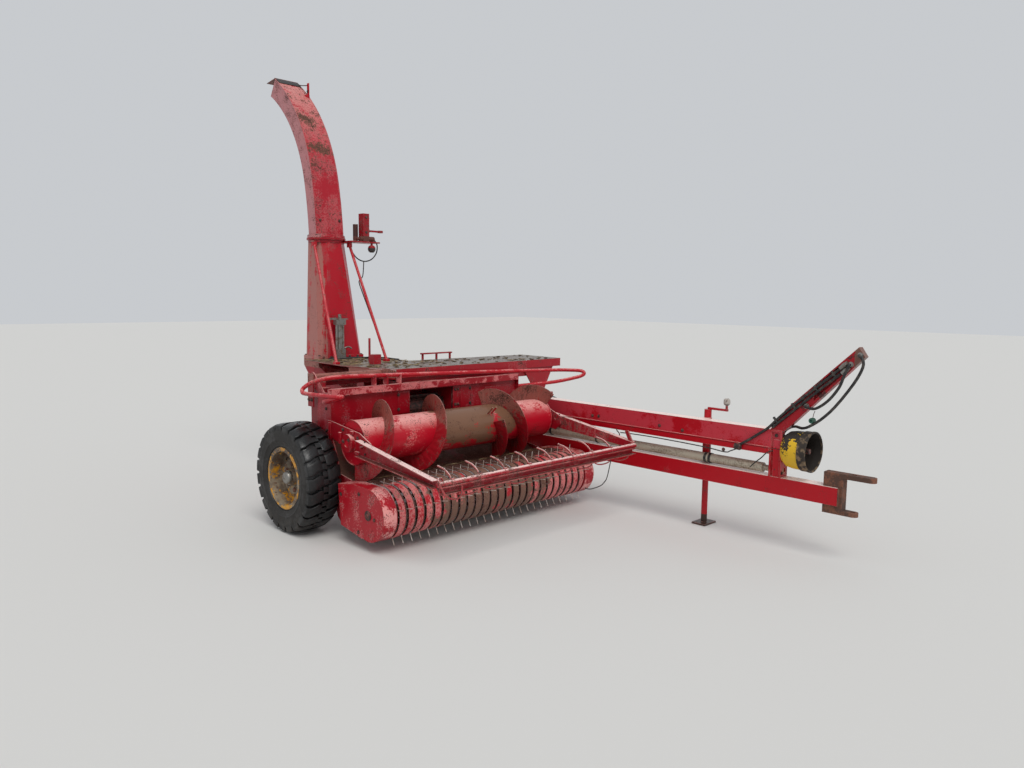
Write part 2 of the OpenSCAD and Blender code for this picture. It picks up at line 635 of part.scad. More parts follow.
// Tubular rail: a hook beside the right end, a long run over the top and a hook that folds back on the left
rail_y = -145;
function rail_z(x) = 1074 - (x - header_right)*0.0335;
rail_run = concat([for (q = [[0, -137, 902], [-30, -137, 902], [-46, -205, 916], [-53, -340, 948], [-57, -408, 966],
    [-76, -436, 972], [-94, -408, 970], [-100, -330, 966], [-106, -40, 957], [-102, 18, 963], [-85, 34, 988],
    [-50, -30, 1032], [20, -112, 1062], [100, -140, 1068]]) [header_right + q[0], q[1], q[2]]],
    [for (x = [header_right + 220, header_x - 200, header_x + 350, header_left - 120]) [x, rail_y, rail_z(x)]],
    [for (q = [[0, -150, 1013], [200, -225, 1010], [370, -300, 1010], [455, -395, 1010], [496, -452, 1006],
    [505, -477, 988], [488, -466, 968], [440, -432, 950], [300, -330, 915], [120, -205, 892], [60, -165, 886],
    [26, -160, 885], [0, -160, 885]]) [header_left + q[0], q[1], q[2]]]);
module rail() color("#b3242e") placed() swept(concat([rail_run[0]],
    curve([for (i = [1 : len(rail_run) - 2]) rail_run[i]], 3), [rail_run[len(rail_run) - 1]]), 15, 10);

// Auger drum with its stub shafts
module auger_drum() color("#b8505a") placed() {
    rod_x(header_x - drum_end, header_x + drum_end, auger_y, auger_z, drum_r);
    rod_x(header_x - side_out - carrier_t - 26, header_x + side_out + carrier_t + 26, auger_y, auger_z,
        auger_shaft_d/2);
    for (x = [header_x + 225, header_x + 262]) translate([x, auger_y, auger_z]) rotate([48, 0, 0])
        cylinder(h = flight_r - 45, r = 7);
}

// One helical flight from x0 over some turns, a positive hand turning one way
flight_steps = 30;
module flight(x0, turns, hand, start) {
    n = ceil(abs(turns)*flight_steps);
    r_in = drum_r/cos(180/flight_steps) + fit;
    v = [for (i = [0 : n]) let (a = start + hand*360*i/flight_steps, x = x0 + flight_pitch*i/flight_steps)
        each [for (q = [[r_in, 0], [flight_r, 0], [flight_r, flight_t], [r_in, flight_t]])
            [x + q[1], auger_y + q[0]*cos(a), auger_z + q[0]*sin(a)]]];
    sides = [for (i = [0 : n - 1]) for (k = [0 : 3]) let (a = 4*i + k, b = 4*i + (k + 1)%4)
        each (hand > 0 ? (k == 2 ? [[a, b, a + 4], [b, b + 4, a + 4]] : [[a, b, b + 4], [a, b + 4, a + 4]])
            : (k == 2 ? [[a, a + 4, b], [a + 4, b + 4, b]] : [[a, a + 4, b + 4], [a, b + 4, b]]))];
    ends = hand > 0 ? [[3, 2, 1, 0], [4*n, 4*n + 1, 4*n + 2, 4*n + 3]]
        : [[0, 1, 2, 3], [4*n + 3, 4*n + 2, 4*n + 1, 4*n]];
    polyhedron(v, concat(sides, ends));
}
module auger_flights() color("#9c2b34") placed() {
    flight(header_x - drum_end + 10, 1.7, -1, -90);
    flight(header_x + drum_end - 16 - 1.2*flight_pitch, 1.2, 1, 60);
    flight(header_x + 250, 0.3, 1, 165);
}

// Pick-up reel: tube, spiders, tine bars and tines
module pickup_reel() color("#6d5c52") placed() translate([0, band_y, band_z]) {
    rod_x(header_x - side_out - carrier_t, header_x + side_out + carrier_t, 0, 0, 20);
    rod_x(first_row - 4, header_x - first_row + header_x + 4, 0, 0, 34);
    for (k = [0 : tine_bars - 1]) rotate([360*k/tine_bars, 0, 0]) {
        translate([first_row - 4, 0, 118]) rotate([0, 90, 0]) cylinder(h = (tine_rows - 1)*row_pitch + 8, r = 12, $fn = 12);
        for (i = [0 : tine_rows - 1]) translate([first_row + i*row_pitch, 0, 118]) rotate([8, 0, 0])
            cylinder(h = tine_tip_r - 118, r = tine_d/2, $fn = 6);
    }
    for (x = [first_row + row_pitch/2, header_x, header_x - first_row + header_x - row_pitch/2])
        for (k = [0 : tine_bars - 1]) rotate([360*k/tine_bars, 0, 0]) block(x - 4, x + 4, -15, 15, 5, 113);
}

// Crop guard: two channel arms, a pipe on a channel between them and short curved springs on the pipe
arm_in = side_out + carrier_t + arm_gap;
arm_back = guard_pivot_y + 34;
module guard_flange(above, below) side_plate(arm_in + 6, arm_in + 46, [[arm_back, guard_pivot_z + above],
    [guard_y, guard_z + below], [guard_y, guard_z + below - 6], [arm_back, guard_pivot_z + above - 6]]);
module crop_guard() color("#a83a40") placed() {
    for (side = [-1, 1]) header_side(side) {
        rod_x(side_out - 2, arm_in + 30, guard_pivot_y, guard_pivot_z, 10);
        side_plate(arm_in, arm_in + 6, [[arm_back, guard_pivot_z - 60], [arm_back, guard_pivot_z + 48],
            [guard_y, guard_z + 25], [guard_y, guard_z - 22]]);
        guard_flange(48, 25);
        guard_flange(-54, -16);
        if (side > 0) side_plate(arm_in + 6, arm_in + 18, [[guard_y - 12, guard_z + 8], [guard_y + 24, guard_z + 8],
            [guard_y + 72, guard_z + 98], [guard_y + 44, guard_z + 108]]);
    }
    rod_x(header_x - arm_in - 20, header_x + arm_in + 20, guard_y - 15, guard_z, guard_d/2);
    block(header_x - arm_in, header_x + arm_in, guard_y - 8, guard_y - 2, guard_z - 62, guard_z - 6);
    block(header_x - arm_in, header_x + arm_in, guard_y - 42, guard_y - 8, guard_z - 62, guard_z - 56);
    block(header_x - arm_in, header_x + arm_in, guard_y - 34, guard_y - 8, guard_z - 22, guard_z - 14);
    for (x = [-830, -610, -395, -177, 33, 245, 447, 660]) bent_bar([[header_x + x, guard_y - 15, guard_z],
        [header_x + x, guard_y + 12, guard_z + 38], [header_x + x, guard_y + 60, guard_z + 66],
        [header_x + x, guard_y + 125, guard_z + 76]], 6, 20, 6);
}

// Drawbar: two channel beams, one above the other, with a post between them
// and a bearing case on the post's front
stub_z = 665;
case_y = post_y - post_w + 60;
bell_y = post_y - post_w;
module beam(y0, y1, z0, z1) {
    x0 = drawbar_x - beam_w/2;
    x1 = drawbar_x + beam_w/2;
    block(x0, x0 + beam_t, y0, y1, z0, z1);
    block(x0 + beam_t, x1, y0, y1, z0, z0 + beam_t);
    block(x0 + beam_t, x1, y0, y1, z1 - beam_t, z1);
}
module drawbar() color("#b01824") placed() difference() {
    x0 = drawbar_x - beam_w/2;
    union() {
        beam(post_y, hinge_y - 60, upper_bottom, upper_top);
        block(x0 - 6, x0, post_y, hinge_y - 60, upper_bottom, upper_bottom + 46);
        beam(beam_end_y, hinge_y - 60, lower_bottom, lower_top);
        difference() {
            block(x0, x0 + 40, bell_y, post_y, lower_top, upper_top);
            block(x0 - 1, x0 + 14, bell_y + 12, post_y - 12, lower_top + 1, upper_top - 12);
        }
        block(drawbar_x - 45, drawbar_x + 45, hinge_y - 60, hinge_y + 45, lower_bottom, lower_top);
        block(drawbar_x - 45, drawbar_x + 45, hinge_y - 60, hinge_y + 45, upper_bottom, upper_top);
        for (z = [lower_bottom, upper_top - 60]) block(drawbar_x + beam_w/2, jack_x, jack_y - 30, jack_y + 30, z, z + 60);
        rod_z(jack_x, jack_y, lower_bottom - 20, upper_top, jack_d/2 + 8);
        rod_z(drawbar_x, hinge_y, hinge_low - 10, lower_top, hinge_pin_d/2);
        rod_z(drawbar_x, hinge_y, upper_bottom, hinge_high + hinge_plate_t + 10, hinge_pin_d/2);
        block(drawbar_x - 45, drawbar_x + 45, bell_y, case_y, lower_top, stub_z + 55);
    }
    rod_z(jack_x, jack_y, lower_bottom - 21, upper_top + 1, jack_d/2 + fit);
    rod_y(drawbar_x, bell_y - 10, post_y + 10, shaft_z, 20 + fit);
    rod_y(drawbar_x, bell_y - 10, case_y - 8, stub_z, 20 + fit);
}

// Hitch: an upper tongue and a lower jaw with one pin hole through both
hitch_pin_y = -hitch_reach + 135;
tongue_z = lower_top + 62;
jaw_z = lower_bottom - 56;
module hitch() color("#7a4030") placed() difference() {
    union() {
        block(drawbar_x - 34, drawbar_x + 34, -hitch_reach + 34, beam_end_y + 100, tongue_z, tongue_z + 30);
        rod_z(drawbar_x, -hitch_reach + 34, tongue_z, tongue_z + 30, 34);
        block(drawbar_x - 34, drawbar_x + 34, beam_end_y - 22, beam_end_y, jaw_z, tongue_z + 30);
        block(drawbar_x - 34, drawbar_x + 34, beam_end_y, beam_end_y + 100, lower_top, tongue_z);
        block(drawbar_x - 34, drawbar_x + 34, beam_end_y, beam_end_y + 100, jaw_z + 26, lower_bottom);
        block(drawbar_x - 34, drawbar_x + 34, hitch_pin_y, beam_end_y + 100, jaw_z, jaw_z + 26);
        rod_z(drawbar_x, hitch_pin_y, jaw_z, jaw_z + 26, 34);
    }
    rod_z(drawbar_x, hitch_pin_y, 0, 1000, hitch_hole_d/2);
}

// Sloping arm that carries the hoses to the tractor, hollowed along its middle
module hose_arm() color("#a8202a") placed() translate([0, post_y, 0]) difference() {
    side_plate(drawbar_x - beam_w/2, drawbar_x, [[0, upper_top], [-100, upper_top], [-590, 1300], [-550, 1360],
        [-100, 930]]);
    side_plate(drawbar_x - beam_w/2 - 1, drawbar_x - 14, [[-285, 1005], [-455, 1183], [-455, 1256], [-285, 1092]]);
}

// Hoses along the arm's side and one on down the beam
hose_r = 9;
hose_face = drawbar_x - beam_w/2;
module hose_bundle() color("#202022") placed() {
    hose([for (q = [[15.5, 234, 640], [15.5, 210, 655], [15.5, 150, 692], [12, 66, 752], [9.3, 5, 800], [9.3, -90, 899],
        [9.3, -325, 1112], [9.3, -440, 1213], [9.3, -450, 1222]]) [hose_face - q[0], post_y + q[1], q[2]]], hose_r);
    hose([for (q = [[-20, 800], [-30, 810], [-100, 875], [-325, 1080], [-440, 1181], [-450, 1190]])
        [hose_face - 9.3, post_y + q[0], q[1]]], hose_r);
}

// Two free hoses, each straight out of its fitting at both ends
long_route = [for (q = [[0, -560, 1310], [-22, -560, 1310], [-40, -590, 1290], [-42, -595, 1240], [-42, -546, 1137],
    [-40, -439, 984], [-34, -349, 892], [-22, -270, 838], [-14, -230, 823], [18, -190, 819], [52, -150, 817],
    [72, -106, 804], [72, -70, 776], [72, -55, 745], [72, -55, 720]]) [hose_face + q[0], post_y + q[1], q[2]]];
short_route = [for (q = [[0, -505, 1250], [-22, -505, 1250], [-40, -485, 1180], [-42, -457, 1104], [-42, -393, 1017],
    [-38, -312, 960], [-22, -240, 966], [0, -240, 966]]) [hose_face + q[0], post_y + q[1], q[2]]];
module hose_long() color("#202022") placed() hose(long_route, hose_r);
module hose_short() color("#202022") placed() hose(short_route, hose_r);

// Bell-shaped guard round the stub shaft
module pto_guard() color("#d8a81c") placed() translate([drawbar_x, bell_y, stub_z]) rotate([90, 0, 0]) rotate_extrude()
    polygon([[28, 0], [62, 0], [98, 14], [118, 40], [125, 80], [128, 195], [122, 195], [119, 82], [112, 46], [94, 20],
        [60, 6], [28, 6]]);

// Drive line: the stub for the tractor's shaft, and two shafts that meet in a cross joint on the drawbar's hinge
module pto_stub() color("#55504a") placed() {
    rod_y(drawbar_x, bell_y - 170, bell_y - 68, stub_z, pto_d/2);
    rod_y(drawbar_x, bell_y - 68, bell_y - 60, stub_z, pto_d/2 - 3);
    rod_y(drawbar_x, bell_y - 60, bell_y - 12, stub_z, 40);
    rod_y(drawbar_x, bell_y - 12, case_y - 9, stub_z, 20);
}

module fork() for (z = [-34, 26]) {
    block(-20, 20, 0, 60, z, z + 8);
    rod_z(0, 0, z, z + 8, 20);
}

module pto_shaft() color("#a89f92") placed() {
    rod_y(drawbar_x, bell_y + 10, hinge_y - 60, shaft_z, 20);
    rod_y(drawbar_x, post_y + 60, hinge_y - 100, shaft_z, shaft_d/2);
    rod_y(drawbar_x, hinge_y - 66, hinge_y - 52, shaft_z, 36);
    translate([drawbar_x, hinge_y, shaft_z]) {
        mirror([0, 1, 0]) fork();
        cylinder(h = 56, r = 9, center = true);
        rotate([0, 90, 0]) cylinder(h = 38, r = 9, center = true);
    }
}

module rear_shaft() color("#a89f92") placed() {
    rod_y(drawbar_x, hinge_y + 60, cutter_y - 80, shaft_z, 20);
    rod_y(drawbar_x, hinge_y + 80, cutter_y - 200, shaft_z, shaft_d/2);
    rod_y(drawbar_x, hinge_y + 52, hinge_y + 66, shaft_z, 36);
    translate([drawbar_x, hinge_y, shaft_z]) rotate([0, 90, 0]) fork();
}

// Jack: a leg that slides in the tube on the drawbar, and its crank
module jack_leg() color("#a8202a") placed() {
    rod_z(jack_x, jack_y, 12, lower_top, jack_d/2);
    block(jack_x - 75, jack_x + 75, jack_y - 55, jack_y + 55, 0, 12);
}

module jack_crank() color("#b01824") placed() {
    rod_z(jack_x, jack_y, upper_top, upper_top + 60, 26);
    block(jack_x - 8, jack_x + 8, jack_y - 160, jack_y, upper_top + 60, upper_top + 76);
    rod_z(jack_x, jack_y - 150, upper_top + 76, upper_top + 110, 9);
    translate([jack_x, jack_y - 150, upper_top + 104]) rotate_extrude()
        polygon([[0, 0], [14, 0], [22, 8], [24, 24], [22, 40], [14, 48], [0, 48]]);
}

// Lift cylinder between the frame and the header's left side, drawn level and then tilted
lift_rest = norm([lift_front_y - lift_rear_y, lift_front_z - lift_rear_z]);
lift_tilt = atan2(lift_rear_z - lift_front_z, lift_rear_y - lift_front_y);
module lift_at() placed() translate([lift_x, lift_rear_y, lift_rear_z]) rotate([lift_tilt, 0, 0]) children();
module lift_cylinder() color("#8a1a22") lift_at() difference() {
    union() {
        rod_y(0, 40 - lift_rest, 0, 0, 25);
        rod_x(-20, 20, 0, 0, 24);
        rod_x(-24, upright_left + 58 - lift_x, 0, 0, lift_pin_r);
    }
    rod_y(0, -lift_rest, -40, 0, 12 + fit);
}
module lift_rod() color("#b8b8b4") lift_at() difference() {
    union() {
        rod_y(0, 19 - lift_rest, -50, 0, 12);
        rod_x(-15, 15, -lift_rest, 0, 25);
    }
    rod_x(-40, 40, -lift_rest, 0, lift_pin_r + 4);
}

main_frame();
feed_housing();
cutter_housing();
cutter_drum();
feed_roller_upper();
feed_roller_lower();
gearbox();
feed_drive_case();
deck();
sharpening_gear();
chute();
chute_ring();
chute_stays();
spout_drive();
spout();
spout_flap();
tyre_right();
rim_right();
tyre_left();
rim_left();
header_side_right();
header_side_left();
header_back();
auger_pan();
pickup_bands();
shield_right();
shield_left();
header_drive_case();
rail();
auger_drum();
auger_flights();
pickup_reel();
crop_guard();
drawbar();
hitch();
hose_arm();
hose_bundle();
hose_long();
hose_short();
pto_guard();
pto_shaft();
pto_stub();
rear_shaft();
jack_leg();
jack_crank();
lift_cylinder();
lift_rod();
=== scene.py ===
import bpy
import math
import random
from mathutils import Matrix, Vector


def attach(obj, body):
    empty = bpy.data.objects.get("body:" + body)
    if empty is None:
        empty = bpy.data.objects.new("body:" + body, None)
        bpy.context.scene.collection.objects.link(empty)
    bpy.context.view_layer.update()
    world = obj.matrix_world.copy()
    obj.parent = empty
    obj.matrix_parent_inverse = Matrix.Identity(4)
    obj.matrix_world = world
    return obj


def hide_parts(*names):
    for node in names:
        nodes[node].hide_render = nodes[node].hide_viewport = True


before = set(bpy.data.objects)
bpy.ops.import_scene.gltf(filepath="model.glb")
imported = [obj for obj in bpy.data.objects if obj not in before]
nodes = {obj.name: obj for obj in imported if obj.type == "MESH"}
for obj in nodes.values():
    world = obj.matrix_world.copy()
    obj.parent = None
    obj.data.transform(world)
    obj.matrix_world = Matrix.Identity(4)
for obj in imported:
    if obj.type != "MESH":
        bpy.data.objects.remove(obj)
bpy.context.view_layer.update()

# Camera
# The machine is seen from in front of its right-hand corner, from about the height of a person's eyes.
# The view is turned from straight back along the machine by yaw, pitch and roll.
camera_place = Vector((-3.95425, -4.35218, 1.646))
yaw = math.radians(44.39)
pitch = math.radians(6.376)
roll = math.radians(-0.656)
ahead = Vector((math.sin(yaw) * math.cos(pitch), math.cos(yaw) * math.cos(pitch), -math.sin(pitch)))
level = Vector((math.cos(yaw), -math.sin(yaw), 0))
down = ahead.cross(level)
across = level * math.cos(roll) + down * math.sin(roll)
lower = down * math.cos(roll) - level * math.sin(roll)
lens = bpy.data.cameras.new("camera")
lens.lens = 27.79
lens.sensor_width = 36
lens.clip_end = 200
camera = bpy.data.objects.new("camera", lens)
bpy.context.scene.collection.objects.link(camera)
turned_view = Matrix((across, -lower, -ahead)).transposed().to_4x4()
camera.matrix_world = Matrix.Translation(camera_place) @ turned_view
bpy.context.scene.camera = camera


# Loose hoses
# Two rubber hydraulic hoses hang from the sloping arm, one to the drawbar's post and one in a short loop
# back to the arm. Each is a smooth tube along the points of its route in the CAD source.
class Shade:
    """One socket of a material, used in plain sums."""

    def __init__(self, tree, socket):
        self.tree = tree
        self.socket = socket

    def node(self, kind, settings=None, inputs=None, output=0):
        """A new node, from its type, its settings and the values or links of its sockets."""
        made = self.tree.nodes.new(kind)
        for name, setting in (settings or {}).items():
            setattr(made, name, setting)
        for name, value in (inputs or {}).items():
            if isinstance(value, Shade):
                self.tree.links.new(value.socket, made.inputs[name])
            else:
                made.inputs[name].default_value = value
        return Shade(self.tree, made.outputs[output])

    def maths(self, operation, first, second=0.0):
        return self.node("ShaderNodeMath", {"operation": operation}, {0: first, 1: second})

    def __add__(self, other):
        return self.maths("ADD", self, other)

    def __radd__(self, other):
        return self.maths("ADD", other, self)

    def __sub__(self, other):
        return self.maths("SUBTRACT", self, other)

    def __rsub__(self, other):
        return self.maths("SUBTRACT", other, self)

    def __mul__(self, other):
        return self.maths("MULTIPLY", self, other)

    def __rmul__(self, other):
        return self.maths("MULTIPLY", other, self)

    def __pow__(self, power):
        return self.maths("POWER", self, power)

    def __abs__(self):
        return self.maths("ABSOLUTE", self)

    def part(self, axis):
        return self.node("ShaderNodeSeparateXYZ", {}, {"Vector": self}, axis)

    x = property(lambda self: self.part(0))
    y = property(lambda self: self.part(1))
    z = property(lambda self: self.part(2))

    def over(self, low, high):
        """0 below low, 1 above high, and a smooth step between them."""
        return self.node("ShaderNodeMapRange", {"interpolation_type": "SMOOTHSTEP"},
                         {"Value": self, "From Min": low, "From Max": high})

    def under(self, low, high):
        """1 below low and 0 above high."""
        return 1 - self.over(low, high)

    def within(self, low, high, soft):
        """1 between low and high, fading to 0 over the soft distance inside each."""
        return self.over(low, low + soft) * self.under(high - soft, high)

    def tint(self, under, over):
        """Colour under where this mask is 0, colour over where it is 1."""
        return self.node("ShaderNodeMix", {"data_type": "RGBA"}, {0: self, 6: under, 7: over}, 2)

    def noise(self, scale, detail=4.0, stretch=(1, 1, 1)):
        moved = self.node("ShaderNodeMapping", {}, {"Vector": self, "Scale": stretch})
        return moved.node("ShaderNodeTexNoise", {}, {"Vector": moved, "Scale": scale, "Detail": detail})


def rgb(red, green, blue):
    """A colour as a screen shows it, 0 to 255, turned into the linear values that a shader takes."""
    shown = (red / 255, green / 255, blue / 255)
    return (*(v / 12.92 if v <= 0.04045 else ((v + 0.055) / 1.055) ** 2.4 for v in shown), 1.0)


slot_of = {}


def new_finish(name, slot=None):
    """A new material for a slot of the part, with the places on the piece, its normals and its shader."""
    material = bpy.data.materials.new(name)
    material.use_nodes = True
    slot_of[material.name] = slot
    tree = material.node_tree
    coordinates = tree.nodes.new("ShaderNodeTexCoord").outputs
    return (material, Shade(tree, coordinates["Object"]), Shade(tree, coordinates["Normal"]),
            tree.nodes["Principled BSDF"])


def lay(shader, **inputs):
    """Joins worked-out values to the shader's sockets, or sets plain numbers on them."""
    for name, value in inputs.items():
        socket = shader.inputs[name.replace("_", " ").title()]
        if isinstance(value, Shade):
            value.tree.links.new(value.socket, socket)
        else:
            socket.default_value = value


def bumped(height, strength, distance):
    return height.node("ShaderNodeBump", {}, {"Strength": strength, "Distance": distance, "Height": height})


def coat(material, *names):
    """Puts a material on CAD nodes."""
    for name in names:
        mesh = nodes[name].data
        mesh.materials.clear()
        mesh.materials.append(material)


def spot(x, y, z):
    """A place in millimetres from the ground under the axle's middle, turned into the part's own metres."""
    return Vector(((x - 256.25) / 1000, (y + 547.822) / 1000, z / 1000))


def smooth_run(points, steps):
    """A smooth curve through the inner points, with a straight first and last stretch."""
    inner = points[1:-1]
    run = [points[0]]
    for i in range(len(inner) - 1):
        before, here = inner[max(i - 1, 0)], inner[i]
        there, after = inner[i + 1], inner[min(i + 2, len(inner) - 1)]
        for k in range(steps):
            t = k / steps
            slope = (there - before) * t
            bend = (2 * before - 5 * here + 4 * there - after) * t * t
            run.append(0.5 * (2 * here + slope + bend + (3 * here - before - 3 * there + after) * t ** 3))
    return run + [inner[-1], points[-1]]


def tube(name, run, radius, body, material):
    """A round hose, pipe or wire, as a curve of one open spline along a run of points."""
    shape = bpy.data.curves.new(name, "CURVE")
    shape.dimensions = "3D"
    shape.bevel_depth = radius
    shape.bevel_resolution = 3
    shape.use_fill_caps = True
    spline = shape.splines.new("POLY")
    spline.points.add(len(run) - 1)
    for point, place in zip(spline.points, run):
        point.co = (*place, 1)
    spline.use_smooth = True
    shape.materials.append(material)
    piece = bpy.data.objects.new(name, shape)
    bpy.context.scene.collection.objects.link(piece)
    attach(piece, body)
    slot_of[material.name]
    return piece


hose_rubber, place, normal, shader = new_finish("hose_rubber", "hose_rubber")
grime = place.noise(40, 6).over(0.45, 0.7)
lay(shader, base_color=(grime * 0.6).tint(rgb(28, 27, 28), rgb(96, 88, 80)), roughness=0.45 + grime * 0.3,
    normal=bumped(place.noise(300, 3), 0.25, 0.002))
coat(hose_rubber, "hose_bundle")

hose_radius = 0.009
post_x, post_y = 1150, -2400
long_route = [(0, -560, 1310), (-22, -560, 1310), (-40, -590, 1290), (-42, -595, 1240), (-42, -546, 1137),
              (-40, -439, 984), (-34, -349, 892), (-22, -270, 838), (-14, -230, 823), (18, -190, 819),
              (52, -150, 817), (72, -106, 804), (72, -70, 776), (72, -55, 745), (72, -55, 720)]
short_route = [(0, -505, 1250), (-22, -505, 1250), (-40, -485, 1180), (-42, -457, 1104), (-42, -393, 1017),
               (-38, -312, 960), (-22, -240, 966), (0, -240, 966)]
for name, route, steps in (("hose_long", long_route, 3), ("hose_short", short_route, 6)):
    run = smooth_run([spot(post_x + x, post_y + y, z) for x, y, z in route], steps)
    length = sum((after - before).length for before, after in zip(run, run[1:]))
    hose = tube(name + "_rubber", run, hose_radius, "drawbar", hose_rubber)
    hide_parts(name)


# Tyres
# Two worn tractor tyres, dusty on the sides and damp and dark on the tread. Each is a turned casing with two
# moulded rings on its sides, and chunky blocks that stand on it in a chevron with small keys between them.
def start_shape(add, **sizes):
    """A new primitive alone in the selection, with its place and turn in its mesh."""
    if bpy.context.object and bpy.context.object.mode != "OBJECT":
        bpy.ops.object.mode_set(mode="OBJECT")
    bpy.ops.object.select_all(action="DESELECT")
    add(**sizes)
    bpy.ops.object.transform_apply(location=True, rotation=True, scale=True)
    return bpy.context.object


def edit_all():
    bpy.ops.object.mode_set(mode="EDIT")
    bpy.ops.mesh.select_all(action="SELECT")


def end_edit():
    bpy.ops.object.mode_set(mode="OBJECT")


def pick_faces(shape, wanted):
    """In edit mode, selects just the faces whose normal passes the test."""
    edit_all()
    bpy.ops.mesh.select_mode(type="FACE")
    bpy.ops.mesh.select_all(action="DESELECT")
    end_edit()
    for face in shape.data.polygons:
        face.select = wanted(face.normal)
    bpy.ops.object.mode_set(mode="EDIT")


def bevelled(shape, width, sharpness=30):
    """Rounds the edges that turn by more than an angle in degrees."""
    bpy.ops.object.modifier_add(type="BEVEL")
    bevel = shape.modifiers["Bevel"]
    bevel.width = width
    bevel.segments = 2
    bevel.angle_limit = math.radians(sharpness)
    bpy.ops.object.modifier_apply(modifier="Bevel")
    return shape


def joined(shapes):
    """Makes one shape of several, and leaves it alone in the selection."""
    if bpy.context.object and bpy.context.object.mode != "OBJECT":
        bpy.ops.object.mode_set(mode="OBJECT")
    bpy.ops.object.select_all(action="DESELECT")
    for shape in shapes:
        shape.select_set(True)
    bpy.context.view_layer.objects.active = shapes[0]
    if len(shapes) > 1:
        bpy.ops.object.join()
    return shapes[0]


def copied(shape, place):
    """A copy of a shape with its own mesh, moved to a place given as a matrix."""
    copy = shape.copy()
    copy.data = shape.data.copy()
    copy.data.transform(place)
    bpy.context.scene.collection.objects.link(copy)
    return copy


def stamped(source, places):
    """Copies of one shape at places given as matrices, joined into one."""
    copies = [copied(source, place) for place in places]
    bpy.data.objects.remove(source)
    return joined(copies)


def at(x, y, z, turn=0.0, axis="Z"):
    """The matrix that turns a shape at the origin and takes it to a place in millimetres."""
    return Matrix.Translation(spot(x, y, z)) @ Matrix.Rotation(turn, 4, axis)


def moved(shape, place):
    shape.data.transform(place)
    return shape


def fitted(name, body, material, *shapes, smooth=35):
    """Joins the shapes of a piece, names it, lets it ride on its body and gives it its finish."""
    piece = joined(shapes)
    bpy.ops.object.shade_smooth_by_angle(angle=math.radians(smooth))
    piece.name = name
    piece.data.materials.clear()
    piece.data.materials.append(material)
    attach(piece, body)
    slot_of[material.name]
    return piece


def turned(profile, steps=64):
    """A closed ring turned round the X axis, extruded and resized along its profile of (x, radius) points."""
    x, r = profile[0]
    shape = start_shape(bpy.ops.mesh.primitive_circle_add, vertices=steps, radius=r, location=(x, 0, 0),
                        rotation=(0, math.pi / 2, 0))
    bpy.ops.object.mode_set(mode="EDIT")
    bpy.ops.mesh.select_mode(type="VERT")
    bpy.ops.mesh.select_all(action="SELECT")
    for next_x, next_r in profile[1:] + profile[:1]:
        bpy.ops.mesh.extrude_region_move(TRANSFORM_OT_translate={"value": (next_x - x, 0, 0)})
        bpy.ops.transform.resize(value=(1, next_r / r, next_r / r), center_override=(next_x, 0, 0))
        x, r = next_x, next_r
    bpy.ops.mesh.select_all(action="SELECT")
    bpy.ops.mesh.remove_doubles(threshold=0.00002)
    bpy.ops.mesh.normals_make_consistent(inside=False)
    end_edit()
    return shape


wheels = (("right", -980, -1), ("left", 1450, 1))
axle_height = 380
axle = spot(0, 0, axle_height)
tyre_rubber, place, normal, shader = new_finish("tyre_rubber", "tyre_rubber")
radius_squared = (place.y - axle.y) ** 2.0 + (place.z - axle.z) ** 2.0
damp = (place.noise(6, 5) * 0.7 + place.noise(45, 4) * 0.3).over(0.45, 0.6)
dust = radius_squared.within(0.03, 0.128, 0.03) * (0.35 + place.noise(30, 6) * 0.6)
low_mud = place.z.under(0.02, 0.2) * place.noise(22, 6).over(0.4, 0.65)
rubber = damp.tint(rgb(15, 15, 16), rgb(27, 27, 28))
rubber = (dust * 0.4).tint(rubber, rgb(62, 56, 50))
rubber = (low_mud * 0.45).tint(rubber, rgb(62, 53, 44))
shine = damp * 0.18 + normal.z.over(0.1, 0.9) * 0.26
lay(shader, base_color=rubber, roughness=0.6 - shine + dust * 0.2,
    normal=bumped(place.noise(130, 5) + place.noise(24, 3) * 0.6, 0.4, 0.003))

casing_profile = [(-0.0975, 0.1953), (-0.106, 0.212), (-0.1085, 0.222), (-0.1145, 0.224), (-0.118, 0.234),
                  (-0.1225, 0.262), (-0.1262, 0.2655), (-0.1262, 0.2735), (-0.125, 0.277), (-0.1267, 0.3),
                  (-0.1235, 0.325), (-0.116, 0.343), (-0.1, 0.355), (-0.06, 0.359), (0.0, 0.36)]
casing_profile = casing_profile + [(-x, r) for x, r in reversed(casing_profile[:-1])]
casing = turned(casing_profile, 92)

block = start_shape(bpy.ops.mesh.primitive_cube_add, size=1, location=(0.07, 0, 0.366),
                    scale=(0.106, 0.078, 0.03))
edit_all()
bpy.ops.mesh.subdivide(number_cuts=3)
end_edit()
for corner in block.data.vertices:
    out = corner.co.x
    narrowing = 1 - 3.5 * max(0, 0.05 - out)
    corner.co.y = corner.co.y * narrowing + 0.3 * (out - 0.068) + 0.006 * math.sin(out * 90)
    corner.co.z = corner.co.z - 0.0012 - 5.5 * max(0, out - 0.07) ** 2 - corner.co.y ** 2 / 0.76
    if out > 0.11 and corner.co.z < 0.35:
        corner.co.z -= 0.016
bevelled(block, 0.004, 50)

key = start_shape(bpy.ops.mesh.primitive_cube_add, size=1, location=(0, 0, 0.3645),
                  scale=(0.042, 0.036, 0.026))
pick_faces(key, lambda way: way.z > 0.9)
bpy.ops.mesh.inset(thickness=0.004)
bpy.ops.transform.translate(value=(0, 0, 0.0012))
end_edit()

